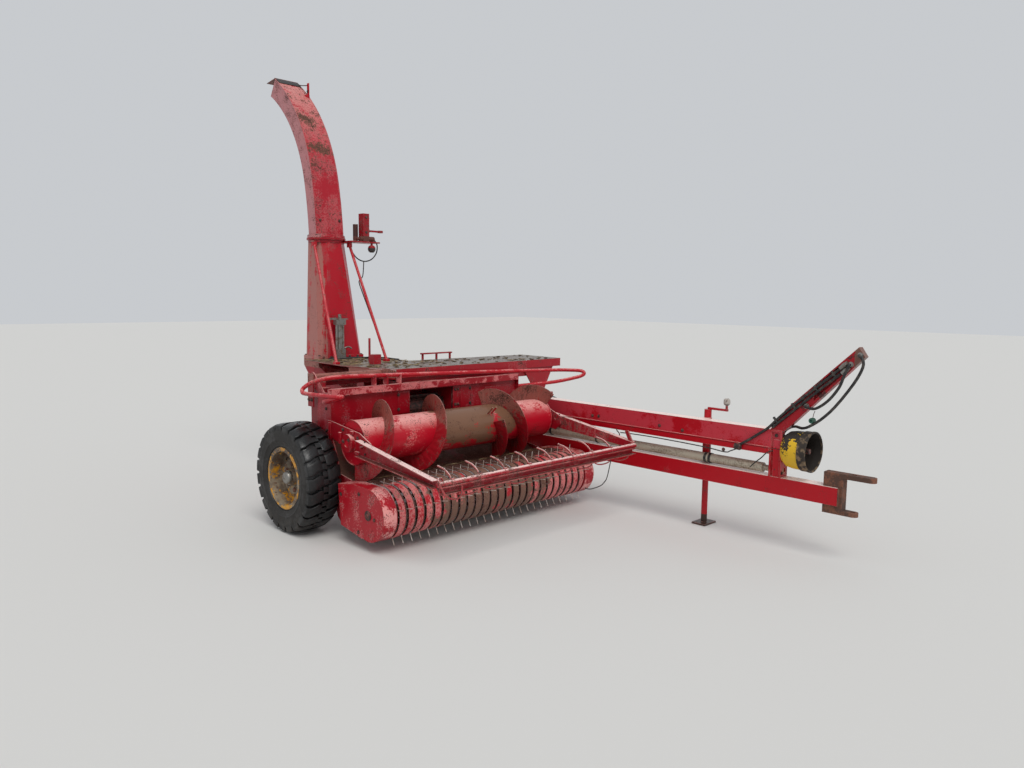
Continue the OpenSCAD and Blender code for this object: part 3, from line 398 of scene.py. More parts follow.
blocks_round = 23
block_turn = 2 * math.pi / blocks_round
other_side = Matrix.Rotation(math.pi, 4, "Z")
block_places = [Matrix.Rotation(block_turn * k, 4, "X") for k in range(blocks_round)]
block_places += [Matrix.Rotation(block_turn * (k + 0.5), 4, "X") @ other_side for k in range(blocks_round)]
key_places = [Matrix.Rotation(block_turn * (k + 1) / 2, 4, "X") for k in range(2 * blocks_round)]
tyre = joined([casing, stamped(block, block_places), stamped(key, key_places)])
for side, wheel_x, way in wheels:
    mounted = copied(tyre, at(wheel_x, 0, axle_height))
    fitted("tyre_" + side + "_rubber", "wheel_" + side, tyre_rubber, mounted, smooth=40)
    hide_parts("tyre_" + side)
bpy.data.objects.remove(tyre)


# Rims
# Pressed steel rims, once yellow, now mostly bare brown steel with flakes of paint, which hold best on the
# edge ring and low in the dish. Each is held by six nuts on studs, with a domed cap over its hub. The upper
# part of each dish is painted darker, as painted shade.
to_right = (-1, 0, 0)
to_left = (1, 0, 0)
to_front = (0, -1, 0)
to_rear = (0, 1, 0)
upward = (0, 0, 1)


def hexagon(size, height):
    """A hexagon nut or bolt head standing on the origin, its top edge rounded off, on a thin washer."""
    head = start_shape(bpy.ops.mesh.primitive_cylinder_add, vertices=6, radius=size, depth=height,
                       location=(0, 0, height / 2))
    pick_faces(head, lambda way: way.z > 0.9)
    bpy.ops.mesh.inset(thickness=size * 0.16)
    bpy.ops.transform.translate(value=(0, 0, size * 0.12))
    bpy.ops.mesh.inset(thickness=size * 0.3)
    bpy.ops.transform.translate(value=(0, 0, size * 0.1))
    end_edit()
    washer = start_shape(bpy.ops.mesh.primitive_cylinder_add, vertices=14, radius=size * 1.35,
                         depth=size * 0.24, location=(0, 0, size * 0.12))
    pick_faces(washer, lambda way: way.z > 0.9)
    bpy.ops.mesh.inset(thickness=size * 0.12)
    bpy.ops.transform.translate(value=(0, 0, size * 0.05))
    end_edit()
    return joined([head, washer])


def bolts(name, body, size, material, rows):
    """Hexagon heads at places in millimetres, each row a direction followed by its places."""
    places = []
    for way, spots in rows:
        stand = Vector(way).to_track_quat("Z", "Y").to_matrix().to_4x4()
        for k, place in enumerate(spots):
            places.append(at(*place) @ stand @ Matrix.Rotation(0.4 * k, 4, "Z"))
    fitted(name, body, material, stamped(hexagon(size, size * 0.75), places))


old_yellow, place, normal, shader = new_finish("old_yellow_paint")
radius_squared = (place.y - axle.y) ** 2.0 + (place.z - axle.z) ** 2.0
flakes = place.noise(11, 7) * 0.65 + place.noise(70, 5) * 0.35
paint = (flakes + radius_squared.over(0.036, 0.041) * 0.05 - place.z * 0.12).over(0.5, 0.53)
bare = place.noise(16, 7).over(0.4, 0.62).tint(rgb(104, 90, 76), rgb(146, 132, 112))
# Painted shade: bare steel turns dark brown higher up on the rim, where the dish lies in shadow.
bare = ((place.z + place.noise(8, 5) * 0.2).over(0.44, 0.6) * 0.7).tint(bare, rgb(72, 58, 48))
bare = (place.noise(46, 7).over(0.56, 0.66) * 0.8).tint(bare, rgb(94, 58, 38))
yellow = place.noise(30, 5).over(0.4, 0.65).tint(rgb(214, 150, 26), rgb(170, 118, 48))
lay(shader, base_color=paint.tint(bare, yellow), roughness=0.7 - paint * 0.2,
    normal=bumped(paint * 0.5 + place.noise(60, 6) * 0.6, 0.4, 0.002))
coat(old_yellow, "rim_right", "rim_left")

worn_steel, place, normal, shader = new_finish("worn_steel", "worn_steel")
stain = (place.noise(28, 6) * 0.6 + place.noise(160, 4) * 0.4).over(0.48, 0.6)
lay(shader, base_color=stain.tint(rgb(150, 148, 143), rgb(104, 84, 70)), metallic=1 - stain,
    roughness=0.4 + stain * 0.4, normal=bumped(place.noise(220, 3), 0.2, 0.001))

rusty_steel, place, normal, shader = new_finish("rusty_steel", "rusty_steel")
scale_rust = (place.noise(14, 7) * 0.6 + place.noise(90, 5) * 0.4).over(0.44, 0.6)
lay(shader, base_color=scale_rust.tint(rgb(86, 62, 52), rgb(128, 82, 62)), roughness=0.8, metallic=0.1,
    normal=bumped(place.noise(120, 6), 0.5, 0.003))

stud_circle = 92
for side, wheel_x, way in wheels:
    studs = [(wheel_x + way * 31, stud_circle * math.cos(turn), axle_height + stud_circle * math.sin(turn))
             for turn in (math.radians(60 * k + 20) for k in range(6))]
    bolts("wheel_nuts_" + side, "wheel_" + side, 0.015, rusty_steel, [((way, 0, 0), studs)])
    cap = turned([(0.058, 0.02), (0.058, 0.05), (0.075, 0.0495), (0.0752, 0.046), (0.092, 0.043),
                  (0.1, 0.034), (0.104, 0.02), (0.1045, 0.004), (0.09, 0.003)], 40)
    moved(cap, at(wheel_x, 0, axle_height, 0 if side == "left" else math.pi))
    fitted("hub_cap_" + side, "wheel_" + side, worn_steel, cap, smooth=50)


# Main frame and cutter
# A welded frame of square tube and plate under red enamel that the sun has bleached on top, with a painted
# sheen on its tops as well, rust specks, scratched edges with painted highlights, and dried mud. The cutter's
# housing, gearbox and chain case are bolted to it.
def red_enamel(name, slot, deep, faded, top, fade=0.4, bleach_and_sheen=0.6, mud=0.3, rust=0.4, edge_tone=0.5,
               marks=()):
    """Old red enamel: mottled fading, tops paler by bleaching and painted sheen, mud, rust specks, worn edges
    with painted highlights, and marks by place.
    """
    material, place, normal, shader = new_finish(name, slot)
    broad = place.noise(2.6, 5)
    patch = place.noise(10, 7)
    fine = place.noise(85, 7)
    drip = place.noise(24, 6, stretch=(1, 1, 0.1))
    worn = broad * 0.3 + patch * 0.25 + drip * 0.15 + fine * 0.3
    worn = worn.over(0.57 - 0.17 * fade, 0.64 - 0.17 * fade)
    colour = (worn * 0.85).tint(rgb(*deep), rgb(*faded))
    # Up-facing faces turn to the top colour: partly sun bleaching, partly a painted sheen on the glossy
    # paint.
    upper = (patch * 0.6 + fine * 0.4).over(0.62 - 0.28 * bleach_and_sheen, 0.72 - 0.28 * bleach_and_sheen)
    colour = (normal.z.over(0.3, 0.9) * upper).tint(colour, rgb(*top))
    for mask, mark in marks:
        amount = mask(place, normal) + (patch - 0.5) * 0.9 + (fine - 0.5) * 0.6
        colour = amount.over(0.42, 0.6).tint(colour, rgb(*mark))
    soil = (patch * 0.3 + fine * 0.5 + broad * 0.2).over(0.60 - 0.14 * mud, 0.66 - 0.14 * mud)
    colour = (soil * 0.75).tint(colour, rgb(92, 62, 52))
    chips = (place.noise(150, 6) * 0.6 + patch * 0.4).over(0.645 - 0.1 * rust, 0.67 - 0.1 * rust)
    colour = (chips * 0.85).tint(colour, rgb(66, 34, 28))
    rounded = place.node("ShaderNodeBevel", {"samples": 4}, {"Radius": 0.005})
    flat = place.node("ShaderNodeNewGeometry", {}, {}, 1)
    likeness = place.node("ShaderNodeVectorMath", {"operation": "DOT_PRODUCT"}, {0: rounded, 1: flat}, 1)
    # Worn edges: dark brown, or a pale tone that is partly worn paint and partly painted highlight, paler on
    # upper edges.
    edge = ((1 - likeness) * (0.3 + fine * 1.1)).over(0.03, 0.14)
    edge_mix = (patch + normal.z * 0.3).over(0.62 - 0.3 * edge_tone, 0.7 - 0.3 * edge_tone)
    colour = (edge * 0.85).tint(colour, edge_mix.tint(rgb(92, 44, 38), rgb(214, 158, 150)))
    bump = place.node("ShaderNodeBump", {}, {"Strength": 0.35, "Distance": 0.002, "Normal": rounded,
                                             "Height": fine * 0.4 + chips * -0.4 + soil * 0.6})
    lay(shader, base_color=colour, roughness=0.3 + worn * 0.18 + soil * 0.32 + chips * 0.2, normal=bump)
    shader.inputs["Specular IOR Level"].default_value = 0.3
    return material


def high_on_right(place, normal):
    return place.z.over(1.0, 1.04) * place.x.under(-0.45, -0.4)


red_frame = red_enamel(
    "red_frame", "worn_red_paint", (152, 14, 30), (172, 56, 64), (214, 130, 124), mud=0.5,
    marks=[(high_on_right, (150, 92, 82))])
coat(red_frame, "main_frame", "feed_housing", "cutter_housing", "gearbox", "feed_drive_case", "chute_ring",
     "header_drive_case", "lift_cylinder")
coat(worn_steel, "lift_rod")

dark_steel, place, normal, shader = new_finish("dark_steel", "worn_steel")
oiled = place.noise(40, 6).over(0.42, 0.62)
lay(shader, base_color=oiled.tint(rgb(58, 46, 42), rgb(112, 66, 60)), roughness=0.6, metallic=0.2,
    normal=bumped(place.noise(160, 5), 0.35, 0.001))
coat(dark_steel, "cutter_drum", "feed_roller_upper", "feed_roller_lower")

cutter_y, cutter_z = 530, 560
case_bolts = [(-350, cutter_y + 130 * math.cos(turn), cutter_z + 130 * math.sin(turn))
              for turn in (0.9 * k - 1.2 for k in range(4))]
case_bolts += [(-350, y, z)
               for y, z in ((340, 712), (180, 772), (20, 815), (-30, 640), (120, 500), (330, 420))]
rail_bolts = [(-320, 120, 370), (-320, 420, 370), (-320, 700, 370)]
upright_bolts = [(-790, 48, 700), (-790, 48, 520), (-836, 42, 900), (-836, 78, 900)]
gearbox_rear = [(x, 660, z) for z in (470, 640) for x in (1110, 1270)]
gearbox_side = [(1290, y, z) for z in (470, 640) for y in (430, 630)]
bolts("frame_bolts", "frame", 0.011, dark_steel, [
    (to_right, case_bolts + rail_bolts + upright_bolts),
    (to_rear, [(x, 170, 1015) for x in (-700, -420, 520, 900, 1240)] + gearbox_rear),
    (to_left, gearbox_side + [(390, 600, 372), (390, 300, 372)]),
    (upward, [(1110, -160, 807), (1290, -160, 807), (1110, 100, 807), (1370, 60, 807)])])

rib = turned([(-0.004, 0.262), (-0.004, 0.279), (0.004, 0.279), (0.004, 0.262)], 72)
ribs = stamped(rib, [at(x, cutter_y, cutter_z) for x in (-264, -60, 130, 334)])
fitted("cutter_housing_bands", "frame", red_frame, ribs)


# Deck
# A flat steel deck covers the feed and the cutter, with a thin apron under its front edges. It lies under a
# season's leaves, straw and grey dirt, thickest against the chute's foot.
def plate(low, high, way, rounding=0.002, raised=0.001):
    """A flat plate between two corners in millimetres, edges rounded, with a raised field on one face."""
    low, high = spot(*low), spot(*high)
    size = high - low
    shape = start_shape(bpy.ops.mesh.primitive_cube_add, size=1, location=(low + high) / 2, scale=size)
    pick_faces(shape, lambda faced: faced.dot(Vector(way)) > 0.9)
    bpy.ops.mesh.inset(thickness=min(s for s in size if s > min(size)) * 0.14)
    bpy.ops.transform.translate(value=Vector(way) * raised)
    end_edit()
    return bevelled(shape, rounding)


def dirty_lip(place, normal):
    return place.z.over(1.087, 1.0895) * place.z.under(1.095, 1.1)


def dirty_top(place, normal):
    top = normal.z.over(0.9, 0.95) * place.z.within(1.08, 1.095, 0.002)
    return top * place.noise(18, 7).over(0.4, 0.6) * 0.8


deck_top = 1090
deck_finish = red_enamel(
    "deck_finish", None, (160, 20, 34), (178, 70, 74), (168, 122, 112), fade=0.35, bleach_and_sheen=0.5,
    marks=[(dirty_lip, (116, 104, 92)), (dirty_top, (94, 78, 66))])
coat(deck_finish, "deck")

thin_sheet = {"rounding": 0.001, "raised": 0.0005}
front_apron = plate((-190, -64, 950), (1240, -60, 1048), to_front, **thin_sheet)
slant_apron = plate((-2, 0, 1008), (2, 428, 1083), to_right, **thin_sheet)
to_origin = Matrix.Translation(-spot(0, 0, 0))
moved(slant_apron, at(-202, -84, 0, math.radians(20.7)) @ to_origin)
fitted("deck_apron", "frame", red_frame, front_apron, slant_apron)
fitted("feed_mouth_seal", "frame", hose_rubber,
       plate((301, -140.5, 440), (309, -128, 932), to_left, **thin_sheet),
       plate((-129, -140.5, 440), (-121, -128, 932), to_right, **thin_sheet))

leaf_litter, place, normal, shader = new_finish("leaf_litter", "muddy_red_paint")
lay(shader, base_color=place.noise(24, 2).over(0.42, 0.6).tint(rgb(94, 78, 62), rgb(148, 128, 98)),
    roughness=0.85, normal=bumped(place.noise(260, 3), 0.4, 0.001))

leaf = start_shape(bpy.ops.mesh.primitive_circle_add, vertices=8, radius=0.5, fill_type="NGON")
edit_all()
bpy.ops.mesh.poke()
end_edit()
for corner in leaf.data.vertices:
    corner.co.y *= 0.5 - 0.3 * corner.co.x
    corner.co.z = 0.5 * abs(corner.co.y) + 0.12 * corner.co.x ** 2
bpy.ops.object.modifier_add(type="SOLIDIFY")
leaf.modifiers["Solidify"].thickness = 0.03
bpy.ops.object.modifier_apply(modifier="Solidify")


def behind_slant(x, y):
    """Whether a place lies behind the deck's slanting right front edge."""
    return y > -40 + max(0, -180 - x) * 2.4


chance = random.Random(11)
leaf_count = 260
fallen = []
while len(fallen) < leaf_count:
    x, y = chance.uniform(-330, 1560), chance.uniform(-70, 1000)
    on_deck = y < 380 and x > -180 or (y < 1000 and -310 < x < 330 and behind_slant(x, y))
    near_chute = math.exp(-(abs(y - 960) / 260) - abs(x) / 900)
    on_oiler_cap = -160 < x < -80 and 265 < y < 335
    if on_deck and chance.random() < 0.25 + near_chute and not on_oiler_cap:
        size = chance.uniform(0.02, 0.05)
        flat = at(x, y, deck_top + 1, chance.uniform(0, 6.28))
        fallen.append(flat @ Matrix.Rotation(chance.uniform(-0.15, 0.15), 4, "X") @ Matrix.Scale(size, 4))
fitted("fallen_leaves", "frame", leaf_litter, stamped(leaf, fallen), smooth=60)


def straw_stalk():
    """A thin, slightly bent stalk one metre long, lying along X, to be shortened to a cut straw."""
    stalk = start_shape(bpy.ops.mesh.primitive_cylinder_add, vertices=5, radius=0.0014, depth=1,
                        rotation=(0, math.pi / 2, 0))
    edit_all()
    bpy.ops.mesh.subdivide(number_cuts=2)
    end_edit()
    for corner in stalk.data.vertices:
        corner.co.z += 0.02 * corner.co.x ** 2
    return stalk


straw, place, normal, shader = new_finish("straw", "muddy_red_paint")
lay(shader, base_color=place.noise(18, 3).over(0.4, 0.62).tint(rgb(124, 102, 70), rgb(176, 156, 116)),
    roughness=0.8, normal=bumped(place.noise(200, 2), 0.3, 0.001))
straws_on_deck = 90
straw_on_deck = []
while len(straw_on_deck) < straws_on_deck:
    x, y = chance.uniform(-300, 500), chance.uniform(100, 1000)
    if x < 320 and behind_slant(x, y) or y < 380:
        flat = at(x, y, deck_top + 2, chance.uniform(0, 6.28))
        straw_on_deck.append(flat @ Matrix.Diagonal((chance.uniform(0.05, 0.16), 1, 1, 1)))
fitted("straw_on_deck", "frame", straw, stamped(straw_stalk(), straw_on_deck), smooth=60)


# Sharpening gear and pipes
# The grey sharpening cylinder stands in front of the chute. Thin bent steel pipes lie over the deck from it
# and run down the left stay from the turning gear.
def bent(name, radius, body, material, points, steps=4):
    """A bent pipe or wire through places in millimetres, held at both ends."""
    return tube(name, smooth_run([spot(*p) for p in points], steps), radius, body, material)


coat(worn_steel, "sharpening_gear")
bent("deck_pipe", 0.006, "frame", hose_rubber, [
    (-62, 985, 1104), (-90, 980, 1098), (-140, 950, 1098), (-120, 900, 1098), (0, 880, 1099),
    (120, 900, 1099), (230, 880, 1098), (300, 760, 1098), (290, 600, 1098), (300, 560, 1098)])
bent("deck_pipe_low", 0.006, "frame", hose_rubber, [
    (22, 985, 1104), (60, 970, 1098), (150, 940, 1098), (210, 820, 1098), (180, 640, 1098),
    (176, 600, 1097)])
bent("turning_pipe", 0.0055, "frame", hose_rubber, [
    (372, 1040, 2125), (384, 1036, 2120), (408, 1028, 2080), (396, 1020, 2010), (340, 1016, 1950),
    (262, 1020, 1930), (200, 1040, 1960), (150, 1052, 2030), (144, 1060, 2055)], 5)
bent("stay_pipe", 0.0045, "frame", hose_rubber, [
    (262, 1020, 1930), (256, 1014, 1890), (236, 1000, 1800), (176, 962, 1760), (164, 940, 1730),
    (165, 900, 1660), (166, 640, 1250), (166, 600, 1185), (166, 596, 1178)], 5)
bent("deck_tap", 0.007, "frame", worn_steel, [
    (22, 990, 1176), (40, 990, 1180), (72, 986, 1190), (96, 980, 1180), (100, 980, 1172)])


# Chute
# The chute is folded from sheet, its faces meeting in sharp creases, and bolted down through a flange. Its
# front has kept its red, and its right side has gone brown and pink in streaks. Two round bars stay it.
def thin_streaks(place, normal):
    return place.x.under(-0.36, -0.1) * 0.4 + (place.noise(20, 6, (1, 1, 0.05)) - 0.45) * 1.4


def right_face(place):
    return place.x.under(-0.375, -0.34)


def right_face_faded(place, normal):
    return right_face(place) * (0.05 + place.noise(22, 6, (1, 1, 0.08)) * 1.3)


def right_face_streaks(place, normal):
    return right_face(place) * (place.noise(15, 6, (1, 1, 0.06)) - 0.52) * 4


red_chute = red_enamel(
    "red_chute", None, (180, 14, 34), (176, 66, 70), (214, 128, 122), fade=0.0, mud=0.2, rust=0.3,
    marks=[(thin_streaks, (172, 58, 62)), (right_face_faded, (170, 108, 100)),
           (right_face_streaks, (140, 52, 54))])
coat(red_chute, "chute")
red_stays = red_enamel(
    "red_stays", "worn_light_red_paint", (182, 20, 36), (206, 96, 98), (226, 140, 136), fade=0.3, mud=0.2)
coat(red_stays, "chute_stays", "rail")


def grey_bulb(place, normal):
    return place.z.under(2.04, 2.05) * 2


def dark_lever(place, normal):
    return place.x.under(-0.01, -0.008)


def rusty_base(place, normal):
    return place.z.within(2.094, 2.15, 0.004) * normal.z.under(0.95, 0.98)


gear_finish = red_enamel(
    "gear_finish", None, (150, 20, 32), (158, 66, 66), (190, 116, 108), mud=0.5, rust=0.7,
    marks=[(grey_bulb, (58, 54, 52)), (dark_lever, (70, 44, 40)), (rusty_base, (98, 58, 50))])
coat(gear_finish, "spout_drive")
bolts("chute_bolts", "frame", 0.009, dark_steel, [
    (upward, [(x, y, 1116) for y in (1033, 1247) for x in (-185, 235)]),
    (to_front, [(x, 1020, 1103) for x in (-150, -75, 110, 190)]),
    (to_left, [(312, y, z) for y in (1020, 1060) for z in (2303, 2238)]),
    (to_front, [(280, 1004, 2310), (280, 1004, 2180)]),
    (upward, [(350, 1000, 2100), (350, 1090, 2100), (240, 1090, 2100)])])


# Spout
# The curved spout is a welded box of thin sheet with a seam bead along each edge. Moss and brown algae grow
# on its front, its shaded side has bleached to a greyish pink, and a dark strip and a lever sit on top.
def moss(place, normal):
    """Speckled growth on the spout's front, thickest half-way up and towards the top."""
    growth = place.noise(5, 5) * 0.4 + place.noise(34, 7) * 0.25 + place.noise(110, 7) * 0.35
    return growth.over(0.47, 0.6) * place.z.over(2.2, 3.1) * (1 - abs(normal.x)) * 0.9


def shaded_side(place, normal):
    return normal.x.under(-0.8, -0.6) * (0.4 + place.noise(14, 5, (1, 1, 0.2)) * 0.7)


red_spout = red_enamel(
    "red_spout", "worn_light_red_paint", (168, 24, 40), (188, 84, 88), (214, 138, 132), fade=0.62,
    bleach_and_sheen=0.85, mud=0.42, rust=0.8, marks=[(shaded_side, (184, 120, 122)), (moss, (104, 66, 50))])
coat(red_spout, "spout")
flap_finish = red_enamel(
    "flap_finish", None, (104, 44, 42), (128, 84, 76), (110, 78, 70), fade=0.7, mud=0.8, rust=0.8)
coat(flap_finish, "spout_flap")

foot_lean = 3
knee_lean = 12.5
low_bend = 3000
high_bend = 1450


def spout_edge(lean, out=0.0):
    """Where the spout's outer edge leans by an angle in degrees, as y and z in millimetres."""
    first, last = math.radians(foot_lean), math.radians(min(lean, knee_lean))
    y = -60 + low_bend * (math.cos(first) - math.cos(last))
    z = 30 + low_bend * (math.sin(last) - math.sin(first))
    if lean > knee_lean:
        knee, top = math.radians(knee_lean), math.radians(lean)
        y += high_bend * (math.cos(knee) - math.cos(top))
        z += high_bend * (math.sin(top) - math.sin(knee))
    lean = math.radians(lean)
    return 1200 + y - out * math.cos(lean), 2120 + z + out * math.sin(lean)


def spout_half(lean):
    """Half the spout's width, which tapers from its foot to its mouth."""
    return (265 - 40 * (lean - foot_lean) / 54) / 2


for side, way in (("right", -1), ("left", 1)):
    leans = [3, 5, 8, 11] + list(range(13, 58, 2))
    run = [spot(way * (spout_half(lean) - 1.5), *spout_edge(lean, -1)) for lean in leans]
    tube("seam_bead_" + side, run, 0.0045, "spout", red_spout)

strip = start_shape(bpy.ops.mesh.primitive_cube_add, size=1)
for cut in (-1 / 6, 1 / 6):
    edit_all()
    bpy.ops.mesh.bisect(plane_co=(0, cut, 0), plane_no=(0, 1, 0))
    end_edit()
for corner in strip.data.vertices:
    station = round((corner.co.y + 0.5) * 3)
    lean = 54 + station
    out = 6 + 3 * math.sin(station * 0.9) if corner.co.z > 0 else 1.5
    corner.co = spot(math.copysign(spout_half(lean) - 4, corner.co.x), *spout_edge(lean, out))
edit_all()
bpy.ops.mesh.normals_make_consistent(inside=False)
end_edit()
fitted("spout_strip", "spout", hose_rubber, strip)

lever_y, lever_z = spout_edge(48)
lever = plate((104, lever_y - 22, lever_z - 30), (112, lever_y + 10, lever_z + 112), to_right, raised=-0.001)
lever_foot = plate((78, lever_y - 18, lever_z - 16), (116, lever_y + 16, lever_z + 6), upward)
fitted("flap_lever", "spout", red_stays, lever, lever_foot)
rod_points = ((100, 0, 90), (96, 4, 91), (94, 60, 100), (94, 140, 118), (94, 150, 121))
bent("flap_rod", 0.004, "spout", dark_steel, [(x, lever_y + y, lever_z + z) for x, y, z in rod_points])
foot_y = spout_edge(5)[0]
flange_circle = 159 * 0.93
flange_bolts = [(flange_circle * math.cos(turn), 1200 + flange_circle * math.sin(turn), 2138)
                for turn in (0.5, 1.6, 2.7, 3.6, 5.8)]
bolts("spout_bolts", "spout", 0.009, dark_steel, [
    (to_front, [(-88, foot_y - 2, 2268), (100, foot_y - 2, 2274)]), (upward, flange_bolts),
    (to_right, [(104, lever_y - 6, lever_z + 40)])])
foot_band = plate((-134, foot_y - 5, 2160), (134, foot_y + 3, 2178), to_front)
fitted("spout_foot_band", "spout", red_spout, foot_band)


# Header
# Folded side plates, a back plate with filler plates bolted beside the feed opening, and a box rail on top.
# The paint is a deeper, dustier red, scratched and speckled. Cut straw lies behind the pick-up's tines.
def faded_rail(place, normal):
    return place.z.over(0.938, 0.944) * 0.5 + (place.noise(13, 7) - 0.5) * 1.2


def rubbed_front(place, normal):
    return normal.y.under(-0.9, -0.1) * (place.noise(11, 6) * 1.5 - 0.25)


red_header = red_enamel(
    "red_header", "worn_red_paint", (152, 12, 28), (176, 74, 82), (232, 168, 162), bleach_and_sheen=1.1, rust=0.5,
    edge_tone=0.25, marks=[(faded_rail, (206, 112, 112))])
coat(red_header, "header_side_right", "header_side_left", "header_back")
red_shield = red_enamel(
    "red_shield", None, (168, 14, 32), (218, 134, 132), (224, 150, 146), fade=0.3, rust=0.6,
    marks=[(rubbed_front, (228, 152, 148))])
coat(red_shield, "shield_right", "shield_left")
pan_finish = red_enamel(
    "pan_finish", None, (112, 34, 34), (110, 70, 58), (104, 76, 62), fade=0.7, bleach_and_sheen=0.9, mud=1.2)
coat(pan_finish, "auger_pan")

first_slot = -1.06725
tine_spacing = 0.07208


def middle_mud(place, normal):
    return place.x.within(-1.0, 0.62, 0.42) * 0.7 + (place.noise(8, 7) - 0.5) * 1.7


# The bands' tops at the back, under the auger, are painted dark brown.
def dark_rear_tops(place, normal):
    return place.y.over(-0.2, -0.14)


def slot_dirt_and_shade(place, normal):
    """Each band's edges beside the slots the tines come through, darker with dirt and painted shade."""
    from_slot = place.maths("PINGPONG", (place.x - first_slot) * (1 / tine_spacing), 0.5)
    return from_slot.under(0.13, 0.2)


# The bands' pale faded tone also stands for their highlights: fading and painted highlight.
red_bands = red_enamel(
    "red_bands", None, (172, 24, 38), (214, 128, 126), (160, 100, 90), fade=0.72, bleach_and_sheen=0.5, mud=0.35,
    marks=[(middle_mud, (118, 86, 72)), (dark_rear_tops, (78, 54, 46)), (slot_dirt_and_shade, (70, 44, 38))])
coat(red_bands, "pickup_bands")

fillers = [plate((low, -151, bottom), (high, -148, top), to_front, 0.0012, 0.0005)
           for low, high, bottom, top in ((300, 372, 752, 930), (376, 494, 752, 930), (-230, -122, 760, 928))]
fillers.append(plate((640, -151, 790), (940, -148, 900), to_front, 0.0015, 0.0006))
fitted("filler_plates", "header", red_header, *fillers)

auger_y, auger_z = -430, 655
reel_y, reel_z = -770, 246


def bearing_bolts(x, radius, turns):
    return [(x, auger_y + radius * math.cos(turn), auger_z + radius * math.sin(turn)) for turn in turns]


filler_bolts = [(-226, 905), (-226, 795), (324, 905), (324, 786), (478, 905), (478, 786), (352, 905),
                (352, 786)]
right_carrier = ((-170, 711), (-325, 664), (-345, 735), (-520, 700), (-560, 645), (-530, 600))
left_carrier = ((-175, 752), (-325, 725), (-345, 652), (-560, 655), (-540, 605))
shield_bolts = ((-455, 328), (-670, 368), (-839, 232), (-660, 115))
bolts("header_bolts", "header", 0.0095, dark_steel, [
    (to_front, [(x, -151, z) for x, z in filler_bolts]),
    (to_right, [(-828, y, z) for y, z in right_carrier] + bearing_bolts(-858, 40, (0.3, 2.4))
     + [(-820, -123, 853), (-820, -122, 700), (-820, -160, 560), (-820, -250, 300)]
     + [(-920, y, z) for y, z in shield_bolts]),
    (to_left, [(1008, y, z) for y, z in left_carrier] + [(1100, y, z) for y, z in shield_bolts]
     + bearing_bolts(1078, 44, (0.4, 1.45, 2.5, 3.54, 4.6, 5.65)))])
bearing_cap = turned([
    (0.0, 0.012), (0.0, 0.03), (0.002, 0.033), (0.006, 0.033), (0.008, 0.03), (0.008, 0.014), (0.014, 0.012),
    (0.014, 0.004), (0.003, 0.003)], 28)
moved(bearing_cap, at(-919, reel_y, reel_z, math.pi))
fitted("reel_bearing_cap", "header", dark_steel, bearing_cap)

lugs = [plate((-836, -200, 628), (-828, -168, 764), to_right)]
for low, high in (((-838, -480, 716), (-828, -440, 740)), ((-844, -336, 636), (-828, -306, 716)),
                  ((-840, -552, 590), (-828, -500, 612))):
    lugs.append(plate(low, high, to_right, 0.003, 0.002))
fitted("carrier_lugs", "header", red_header, *lugs)

straws_on_bands = 50
straw_on_bands = []
while len(straw_on_bands) < straws_on_bands:
    x, y = chance.uniform(-780, 960), chance.uniform(-570, -540)
    flat = at(x, y, 419.5, chance.uniform(-0.25, 0.25))
    straw_on_bands.append(flat @ Matrix.Diagonal((chance.uniform(0.04, 0.12), 1, 0.3, 1)))
fitted("straw_on_bands", "header", straw, stamped(straw_stalk(), straw_on_bands), smooth=60)


# Auger
# A sheet drum with one flight from each end, turned in bearings on the side plates. Crop has polished and
# bleached its top, which also carries a painted sheen, mud is caked round its middle, and the flights have
# worn to a rusty pink.
def caked_middle(place, normal):
    patches = (place.noise(6, 7) - 0.5) * 1.9 * place.x.within(-0.62, 0.56, 0.05)
    return place.x.within(-0.52, 0.46, 0.2) * (0.66 + normal.z * 0.3) + patches


def rusty_rim(place, normal):
    return place.z.over(0.6, 0.86) * 0.8 + (place.noise(20, 7) - 0.5) * 1.2


red_drum = red_enamel(
    "red_drum", "worn_red_paint", (182, 16, 36), (220, 116, 114), (228, 156, 150), fade=0.3, bleach_and_sheen=0.85,
    mud=0.15, rust=0.5, marks=[(caked_middle, (120, 86, 66))])
coat(red_drum, "auger_drum")
red_flights = red_enamel(
    "red_flights", None, (156, 20, 32), (160, 84, 80), (150, 92, 86), bleach_and_sheen=0.3, mud=0.45, rust=0.7,
    edge_tone=0.1, marks=[(rusty_rim, (146, 84, 74))])
coat(red_flights, "auger_flights")
ring = turned([(-0.004, 0.1495), (-0.004, 0.1535), (0.0, 0.1545), (0.004, 0.1535), (0.004, 0.1495)], 72)
rings = stamped(ring, [at(x, auger_y, auger_z) for x in (-805, 985)])
fitted("drum_rings", "auger", red_drum, rings)

# Reel
# Five bars of spring tines turn inside the bands. The tines are bright spring steel, the bars dark with mud,
# told apart by their distance from the reel's axis.
reel = spot(0, reel_y, reel_z)
reel_finish, place, normal, shader = new_finish("reel_finish")
tine = ((place.y - reel.y) ** 2.0 + (place.z - reel.z) ** 2.0).over(0.018, 0.02)
caked = place.noise(40, 6).over(0.42, 0.6)
muddy_bar = caked.tint(rgb(74, 58, 48), rgb(104, 84, 68))
bright_tine = caked.tint(rgb(206, 198, 190), rgb(164, 146, 132))
lay(shader, base_color=tine.tint(muddy_bar, bright_tine), roughness=0.8 - tine * 0.35, metallic=tine * 0.3,
    normal=bumped(place.noise(90, 4), 0.4, 0.002))
coat(reel_finish, "pickup_reel")


# Crop guard
# Two channel arms carry a pipe on a channel. Short curved spring rods point back from clips on the pipe,
# and a thin cable in a rubber sleeve hangs down under it.
def rusty_flange(place, normal):
    below_slope = place.y * 0.131 - place.z + 0.6566
    return below_slope.over(0.0, 0.02) * normal.z.over(0.3, 0.8) * 2


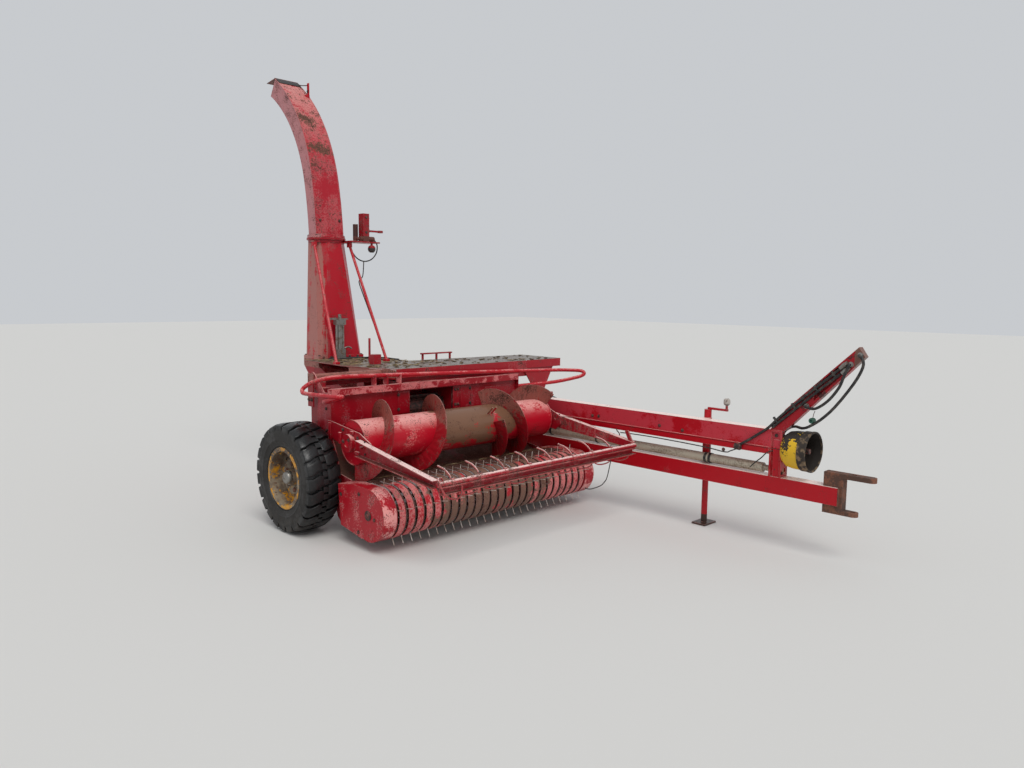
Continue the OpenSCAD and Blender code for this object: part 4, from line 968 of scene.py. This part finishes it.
red_guard = red_enamel(
    "red_guard", "worn_red_paint", (158, 22, 36), (196, 98, 98), (240, 206, 200), bleach_and_sheen=1.1, mud=0.5,
    rust=0.6, edge_tone=0.7, marks=[(rusty_flange, (108, 62, 56))])
coat(red_guard, "crop_guard")
spring_places = [90 + x for x in (-830, -610, -395, -177, 33, 245, 447, 660)]
clip = turned([(-0.011, 0.0172), (-0.011, 0.0205), (0.011, 0.0205), (0.011, 0.0172)], 24)
clips = stamped(clip, [at(x, -1385, 545) for x in spring_places])
saddles = [plate((x - 9, -1394, 562), (x + 9, -1372, 572), upward) for x in spring_places]
fitted("guard_clips", "crop_guard", red_guard, clips, *saddles)
bolts("guard_bolts", "crop_guard", 0.006, dark_steel, [
    (upward, [(x, -1383, 573) for x in spring_places] + [(x + 105, -1383, 562) for x in spring_places]),
    (to_right, [(-845, -628, 690), (-845, -628, 610)]), (to_left, [(1025, -628, 690), (1025, -628, 610)])])
half_loop = [(14, -1400, 485), (16, -1406, 480), (34, -1412, 471), (72, -1414, 465)]
loop = half_loop + [(194 - x, y, z) for x, y, z in reversed(half_loop)]
for number, middle in enumerate(spring_places):
    bent("guard_loop_%d" % (number + 1), 0.0045, "crop_guard", red_guard,
         [(middle + x, y, z) for x, y, z in loop])
bent("guard_near_rod", 0.0055, "crop_guard", red_guard, [
    (-815, -1385, 562), (-830, -1392, 585), (-860, -1400, 586), (-868, -1420, 560), (-830, -1428, 490),
    (-770, -1428, 456), (-720, -1424, 458), (-690, -1414, 485), (-684, -1406, 520)], 5)
cable_run = ((740, 486), (735, 480), (696, 358), (660, 322), (619, 305), (520, 300), (460, 312), (456, 318))
bent("guard_cable", 0.0035, "crop_guard", hose_rubber, [(x, -1400, z) for x, z in cable_run])


# Drawbar
# Two channel beams, one above the other, in the brightest red of the machine, with a post bolted between
# them. The upper beam's face has faded above a strip that has kept its red, and its top lip is nearly white,
# a painted reflection on the wet paint.
def faded_face(place, normal):
    return place.z.within(0.66, 0.785, 0.006) * (place.noise(4, 5) * 1.3 - 0.1)


def kept_strip(place, normal):
    return place.z.within(0.654, 0.662, 0.003) * 0.8


def dirty_front(place, normal):
    return place.y.under(-2.31, -2.3) * normal.y.under(-0.95, -0.85)


# The near-white top colour, strongest here, paints the reflection on the top lip.
red_drawbar = red_enamel(
    "red_drawbar", None, (178, 8, 26), (198, 60, 70), (248, 222, 214), fade=0.12, bleach_and_sheen=1.5, mud=0.12,
    rust=0.35, edge_tone=0.9,
    marks=[(faded_face, (194, 56, 68)), (kept_strip, (96, 20, 26)), (dirty_front, (66, 44, 38))])
coat(red_drawbar, "drawbar")


def crank_knob(place, normal):
    return place.z.over(0.883, 0.887) * 2


# Painted shade: the knob's downward faces are painted dark.
def knob_underside_shade(place, normal):
    return place.z.over(0.883, 0.887) * normal.z.under(-0.6, 0.1)


crank_finish = red_enamel(
    "crank_finish", None, (176, 14, 30), (190, 70, 78), (226, 150, 144), fade=0.3,
    marks=[(crank_knob, (176, 170, 162)), (knob_underside_shade, (58, 50, 46))])
coat(crank_finish, "jack_crank")


def leg_foot(place, normal):
    return place.z.under(0.05, 0.08) * 2


leg_finish = red_enamel(
    "leg_finish", None, (172, 14, 30), (186, 60, 68), (120, 84, 74), fade=0.3, mud=0.4,
    marks=[(leg_foot, (64, 46, 40))])
coat(leg_finish, "jack_leg")


def rubbed_by_hoses(place, normal):
    return place.y.under(-2.1, -1.95) * (0.45 + (place.noise(16, 7) - 0.5) * 1.4)


def arm_tip(place, normal):
    return place.y.under(-2.4, -2.36)


arm_finish = red_enamel(
    "arm_finish", None, (164, 14, 30), (186, 66, 74), (234, 176, 168), fade=0.3, bleach_and_sheen=1.1,
    marks=[(rubbed_by_hoses, (74, 34, 34)), (arm_tip, (120, 84, 72))])
coat(arm_finish, "hose_arm")
coat(rusty_steel, "hitch")
post_bolts = [(1164, -2440, 747), (1164, -2441, 661), (1164, -2441, 520)]
beam_bolts = [(post_x, y, z) for y, z in ((-875, 700), (-937, 702), (-1520, 700), (-1720, 690), (-2060, 600))]
bolts("drawbar_bolts", "drawbar", 0.0095, dark_steel, [
    (to_right, post_bolts + beam_bolts), (to_front, [(1172, -2485, 751), (1168, -2485, 500)])])
valve = turned([
    (-0.03, 0.01), (-0.03, 0.018), (-0.022, 0.024), (0.0, 0.024), (0.004, 0.02), (0.018, 0.02),
    (0.02, 0.012), (0.02, 0.004), (-0.02, 0.003)], 24)
fitted("hose_valve", "drawbar", dark_steel, moved(valve, at(1136, -2172, 640, math.pi / 2)))
bent("beam_line_upper", 0.004, "drawbar", hose_rubber, [
    (1144, -2172, 625), (1138, -2160, 618), (1140, -2120, 600), (1142, -2075, 585), (1143, -1900, 597),
    (1143, -1500, 606), (1143, -1250, 604), (1144, -1170, 600), (1150, -1160, 600)])
bent("beam_hook", 0.004, "drawbar", dark_steel, [
    (1150, -1126, 628), (1138, -1126, 628), (1132, -1140, 612), (1132, -1160, 596), (1132, -1164, 570),
    (1132, -1150, 548), (1132, -1128, 540), (1132, -1118, 552), (1132, -1118, 556)])
bent("post_wire", 0.004, "drawbar", hose_rubber, [
    (1164, -2420, 640), (1150, -2408, 640), (1140, -2380, 620), (1136, -2355, 590), (1136, -2310, 550),
    (1140, -2279, 519), (1142, -2272, 514)])
front_plate = plate((1148, -2875, 352), (1252, -2869, 473), to_front)
fitted("beam_front_plate", "drawbar", rusty_steel, front_plate)

# Hose arm fittings
# The loose hoses end in steel nuts. The hoses on the arm are held by rubber straps and end in two steel
# couplers at its tip, and a spare green dust cap hangs there on a wire.
bolts("hose_nuts", "drawbar", 0.014, worn_steel, [
    (to_right, [(post_x, -2960, 1310), (post_x, -2905, 1250), (post_x, -2640, 966)]),
    (upward, [(1222, -2455, 720)])])
green_plastic, place, normal, shader = new_finish("green_plastic", "guard_plastic")
lay(shader, base_color=place.noise(60, 4).over(0.45, 0.65).tint(rgb(38, 92, 74), rgb(62, 74, 62)),
    roughness=0.55, normal=bumped(place.noise(150, 3), 0.2, 0.001))
dust_cap = turned([
    (-0.022, 0.006), (-0.022, 0.015), (-0.016, 0.018), (0.01, 0.018), (0.014, 0.015), (0.022, 0.014),
    (0.022, 0.004)], 22)
fitted("dust_cap", "drawbar", green_plastic, moved(dust_cap, at(1136, -2690, 880, 0.6, "X")))
bent("dust_cap_wire", 0.002, "drawbar", dark_steel, [
    (1144, -2700, 940), (1138, -2700, 936), (1132, -2698, 922), (1134, -2694, 904), (1136, -2692, 896)])
arm_slope = math.radians(-43)
coupler = turned([
    (-0.03, 0.008), (-0.03, 0.0125), (-0.012, 0.0125), (-0.012, 0.0155), (0.012, 0.0155), (0.012, 0.0135),
    (0.03, 0.0135), (0.03, 0.006)], 20)
along_arm = Matrix.Rotation(math.pi / 2, 4, "Z")
couplers = [at(1141, y, z, arm_slope, "X") @ along_arm for y, z in ((-2868, 1243), (-2880, 1214))]
fitted("hose_couplers", "drawbar", worn_steel, stamped(coupler, couplers))
strap = plate((-6, -6, -24), (11, 6, 24), to_right)
straps = [at(1140, y, z, arm_slope, "X") @ to_origin
          for y, z in ((-2440, 853), (-2560, 957), (-2700, 1082), (-2810, 1182))]
fitted("hose_straps", "drawbar", hose_rubber, stamped(strap, straps))

# Shaft guard and drive line
# A bell of yellow plastic, black with grease and wear towards its mouth, darker towards its top and black on
# its inner surface, stands round the splined stub with its clutch. The shaft on to the gearbox turns in a
# beige plastic tube.
stub_x, stub_z = 1200, 665
stub = spot(stub_x, 0, stub_z)
guard_yellow, place, normal, shader = new_finish("guard_yellow")
wear = place.noise(20, 6) * 0.6 + place.noise(90, 4) * 0.4
mouth = place.y.under(-2.1, -2.08)
# Blackening towards the mouth, with wear, and towards the top; the inner surface is black too.
blackening = (mouth * 0.35 + wear * 0.4 + place.z * 0.5).over(0.54, 0.57)
outward = (place.x - stub.x) * normal.x + (place.z - stub.z) * normal.z
black = (outward.under(-0.001, 0.001) + blackening).over(0.4, 0.6)
lay(shader, base_color=black.tint(rgb(222, 178, 26), rgb(44, 38, 34)), roughness=0.5 + blackening * 0.2,
    normal=bumped(wear, 0.3, 0.002))
coat(guard_yellow, "pto_guard")
lip = turned([
    (-0.008, 0.1225), (-0.012, 0.128), (-0.006, 0.134), (0.006, 0.134), (0.01, 0.128), (0.004, 0.1215)], 56)
moved(lip, at(stub_x, -2674, stub_z, -math.pi / 2))
lip_band = turned([(-0.025, 0.1285), (-0.025, 0.1312), (0.025, 0.1318), (0.025, 0.129)], 56)
moved(lip_band, at(stub_x, -2648, stub_z, -math.pi / 2))
lip_rubber, place, normal, shader = new_finish("lip_rubber", "guard_plastic")
caked = (place.noise(30, 6) - place.z * 0.5 + 0.33).over(0.46, 0.6)
lay(shader, base_color=caked.tint(rgb(50, 42, 36), rgb(124, 104, 80)), roughness=0.75,
    normal=bumped(place.noise(80, 5), 0.4, 0.002))
fitted("guard_lip", "drawbar", lip_rubber, lip, lip_band)

shaft_beige, place, normal, shader = new_finish("shaft_beige")
dust = (place.noise(14, 6, (1, 0.2, 1)) * 0.6 + place.noise(80, 4) * 0.4).over(0.44, 0.62)
lay(shader, base_color=dust.tint(rgb(178, 168, 150), rgb(122, 108, 92)), roughness=0.6,
    normal=bumped(place.noise(60, 4), 0.25, 0.002))
coat(shaft_beige, "pto_shaft", "rear_shaft")
coat(dark_steel, "pto_stub")
spline = plate((-3.2, -2650, 17.2), (3.2, -2560, 18.6), upward, 0.0004, 0.0002)
splines = stamped(spline, [at(stub_x, 0, stub_z, math.radians(60 * k), "Y") @ to_origin for k in range(6)])
clutch = turned([
    (0.0, 0.0385), (0.0, 0.066), (0.004, 0.07), (0.012, 0.07), (0.014, 0.066), (0.016, 0.066), (0.018, 0.07),
    (0.026, 0.07), (0.03, 0.064), (0.03, 0.0385)], 40)
moved(clutch, at(stub_x, -2551, stub_z, math.pi / 2))
fitted("stub_splines", "pto_stub", dark_steel, splines, clutch,
       plate((1150, -2604, 636), (1162, -2550, 694), to_right, 0.005, 0.002),
       plate((1238, -2604, 636), (1250, -2550, 694), to_left, 0.005, 0.002))
clutch_circle = 54
clutch_places = [(stub_x + clutch_circle * math.cos(turn), -2551, stub_z + clutch_circle * math.sin(turn))
                 for turn in (0.3, 1.35, 2.4, 3.44, 4.5, 5.55)]
bolts("clutch_bolts", "pto_stub", 0.0085, dark_steel, [(to_front, clutch_places)])
shaft_z = 512
clamp = turned([(-0.009, 0.0332), (-0.009, 0.037), (0.009, 0.037), (0.009, 0.0332)], 32)
clamps = [at(stub_x, y, shaft_z, math.pi / 2) for y in (-1900, -1935, -900, -400)]
fitted("shaft_clamps", "pto_shaft", hose_rubber, stamped(clamp, clamps))

# Jack fittings
# A thin steel rod beside the jack's tube, bent over at its top. It hangs from the drawbar's upper beam
# and ends above the height that the jack's foot reaches.
bent("jack_rod", 0.004, "drawbar", dark_steel, [
    (1262, -1873, 640), (1262, -1880, 636), (1262, -1884, 600), (1262, -1886, 420), (1262, -1886, 352),
    (1262, -1886, 340)])

# Floor, backdrop and lights
# A plain pale floor under soft studio light from above. The world gives most of the light, and one wide sun
# from the front and the right gives the soft shadow.
bpy.ops.object.select_all(action="DESELECT")
bpy.ops.mesh.primitive_plane_add(size=80, location=(0, 0, -0.002))
floor = bpy.context.object
floor.name = "floor"
pale = bpy.data.materials.new("pale_floor")
pale.use_nodes = True
lay(pale.node_tree.nodes["Principled BSDF"], base_color=rgb(212, 211, 208), roughness=0.9)
floor.data.materials.append(pale)

world = bpy.data.worlds.new("studio")
bpy.context.scene.world = world
world.use_nodes = True
lay(world.node_tree.nodes["Background"], color=(0.93, 0.96, 1.0, 1), strength=0.62)
sun = bpy.data.lights.new("soft_sun", "SUN")
sun.energy = 1.5
sun.angle = math.radians(35)
sun.color = (1.0, 0.98, 0.95)
lamp = bpy.data.objects.new("soft_sun", sun)
lamp.rotation_euler = (math.radians(32), math.radians(-18), 0)
bpy.context.scene.collection.objects.link(lamp)
bpy.context.scene.view_settings.view_transform = "Standard"
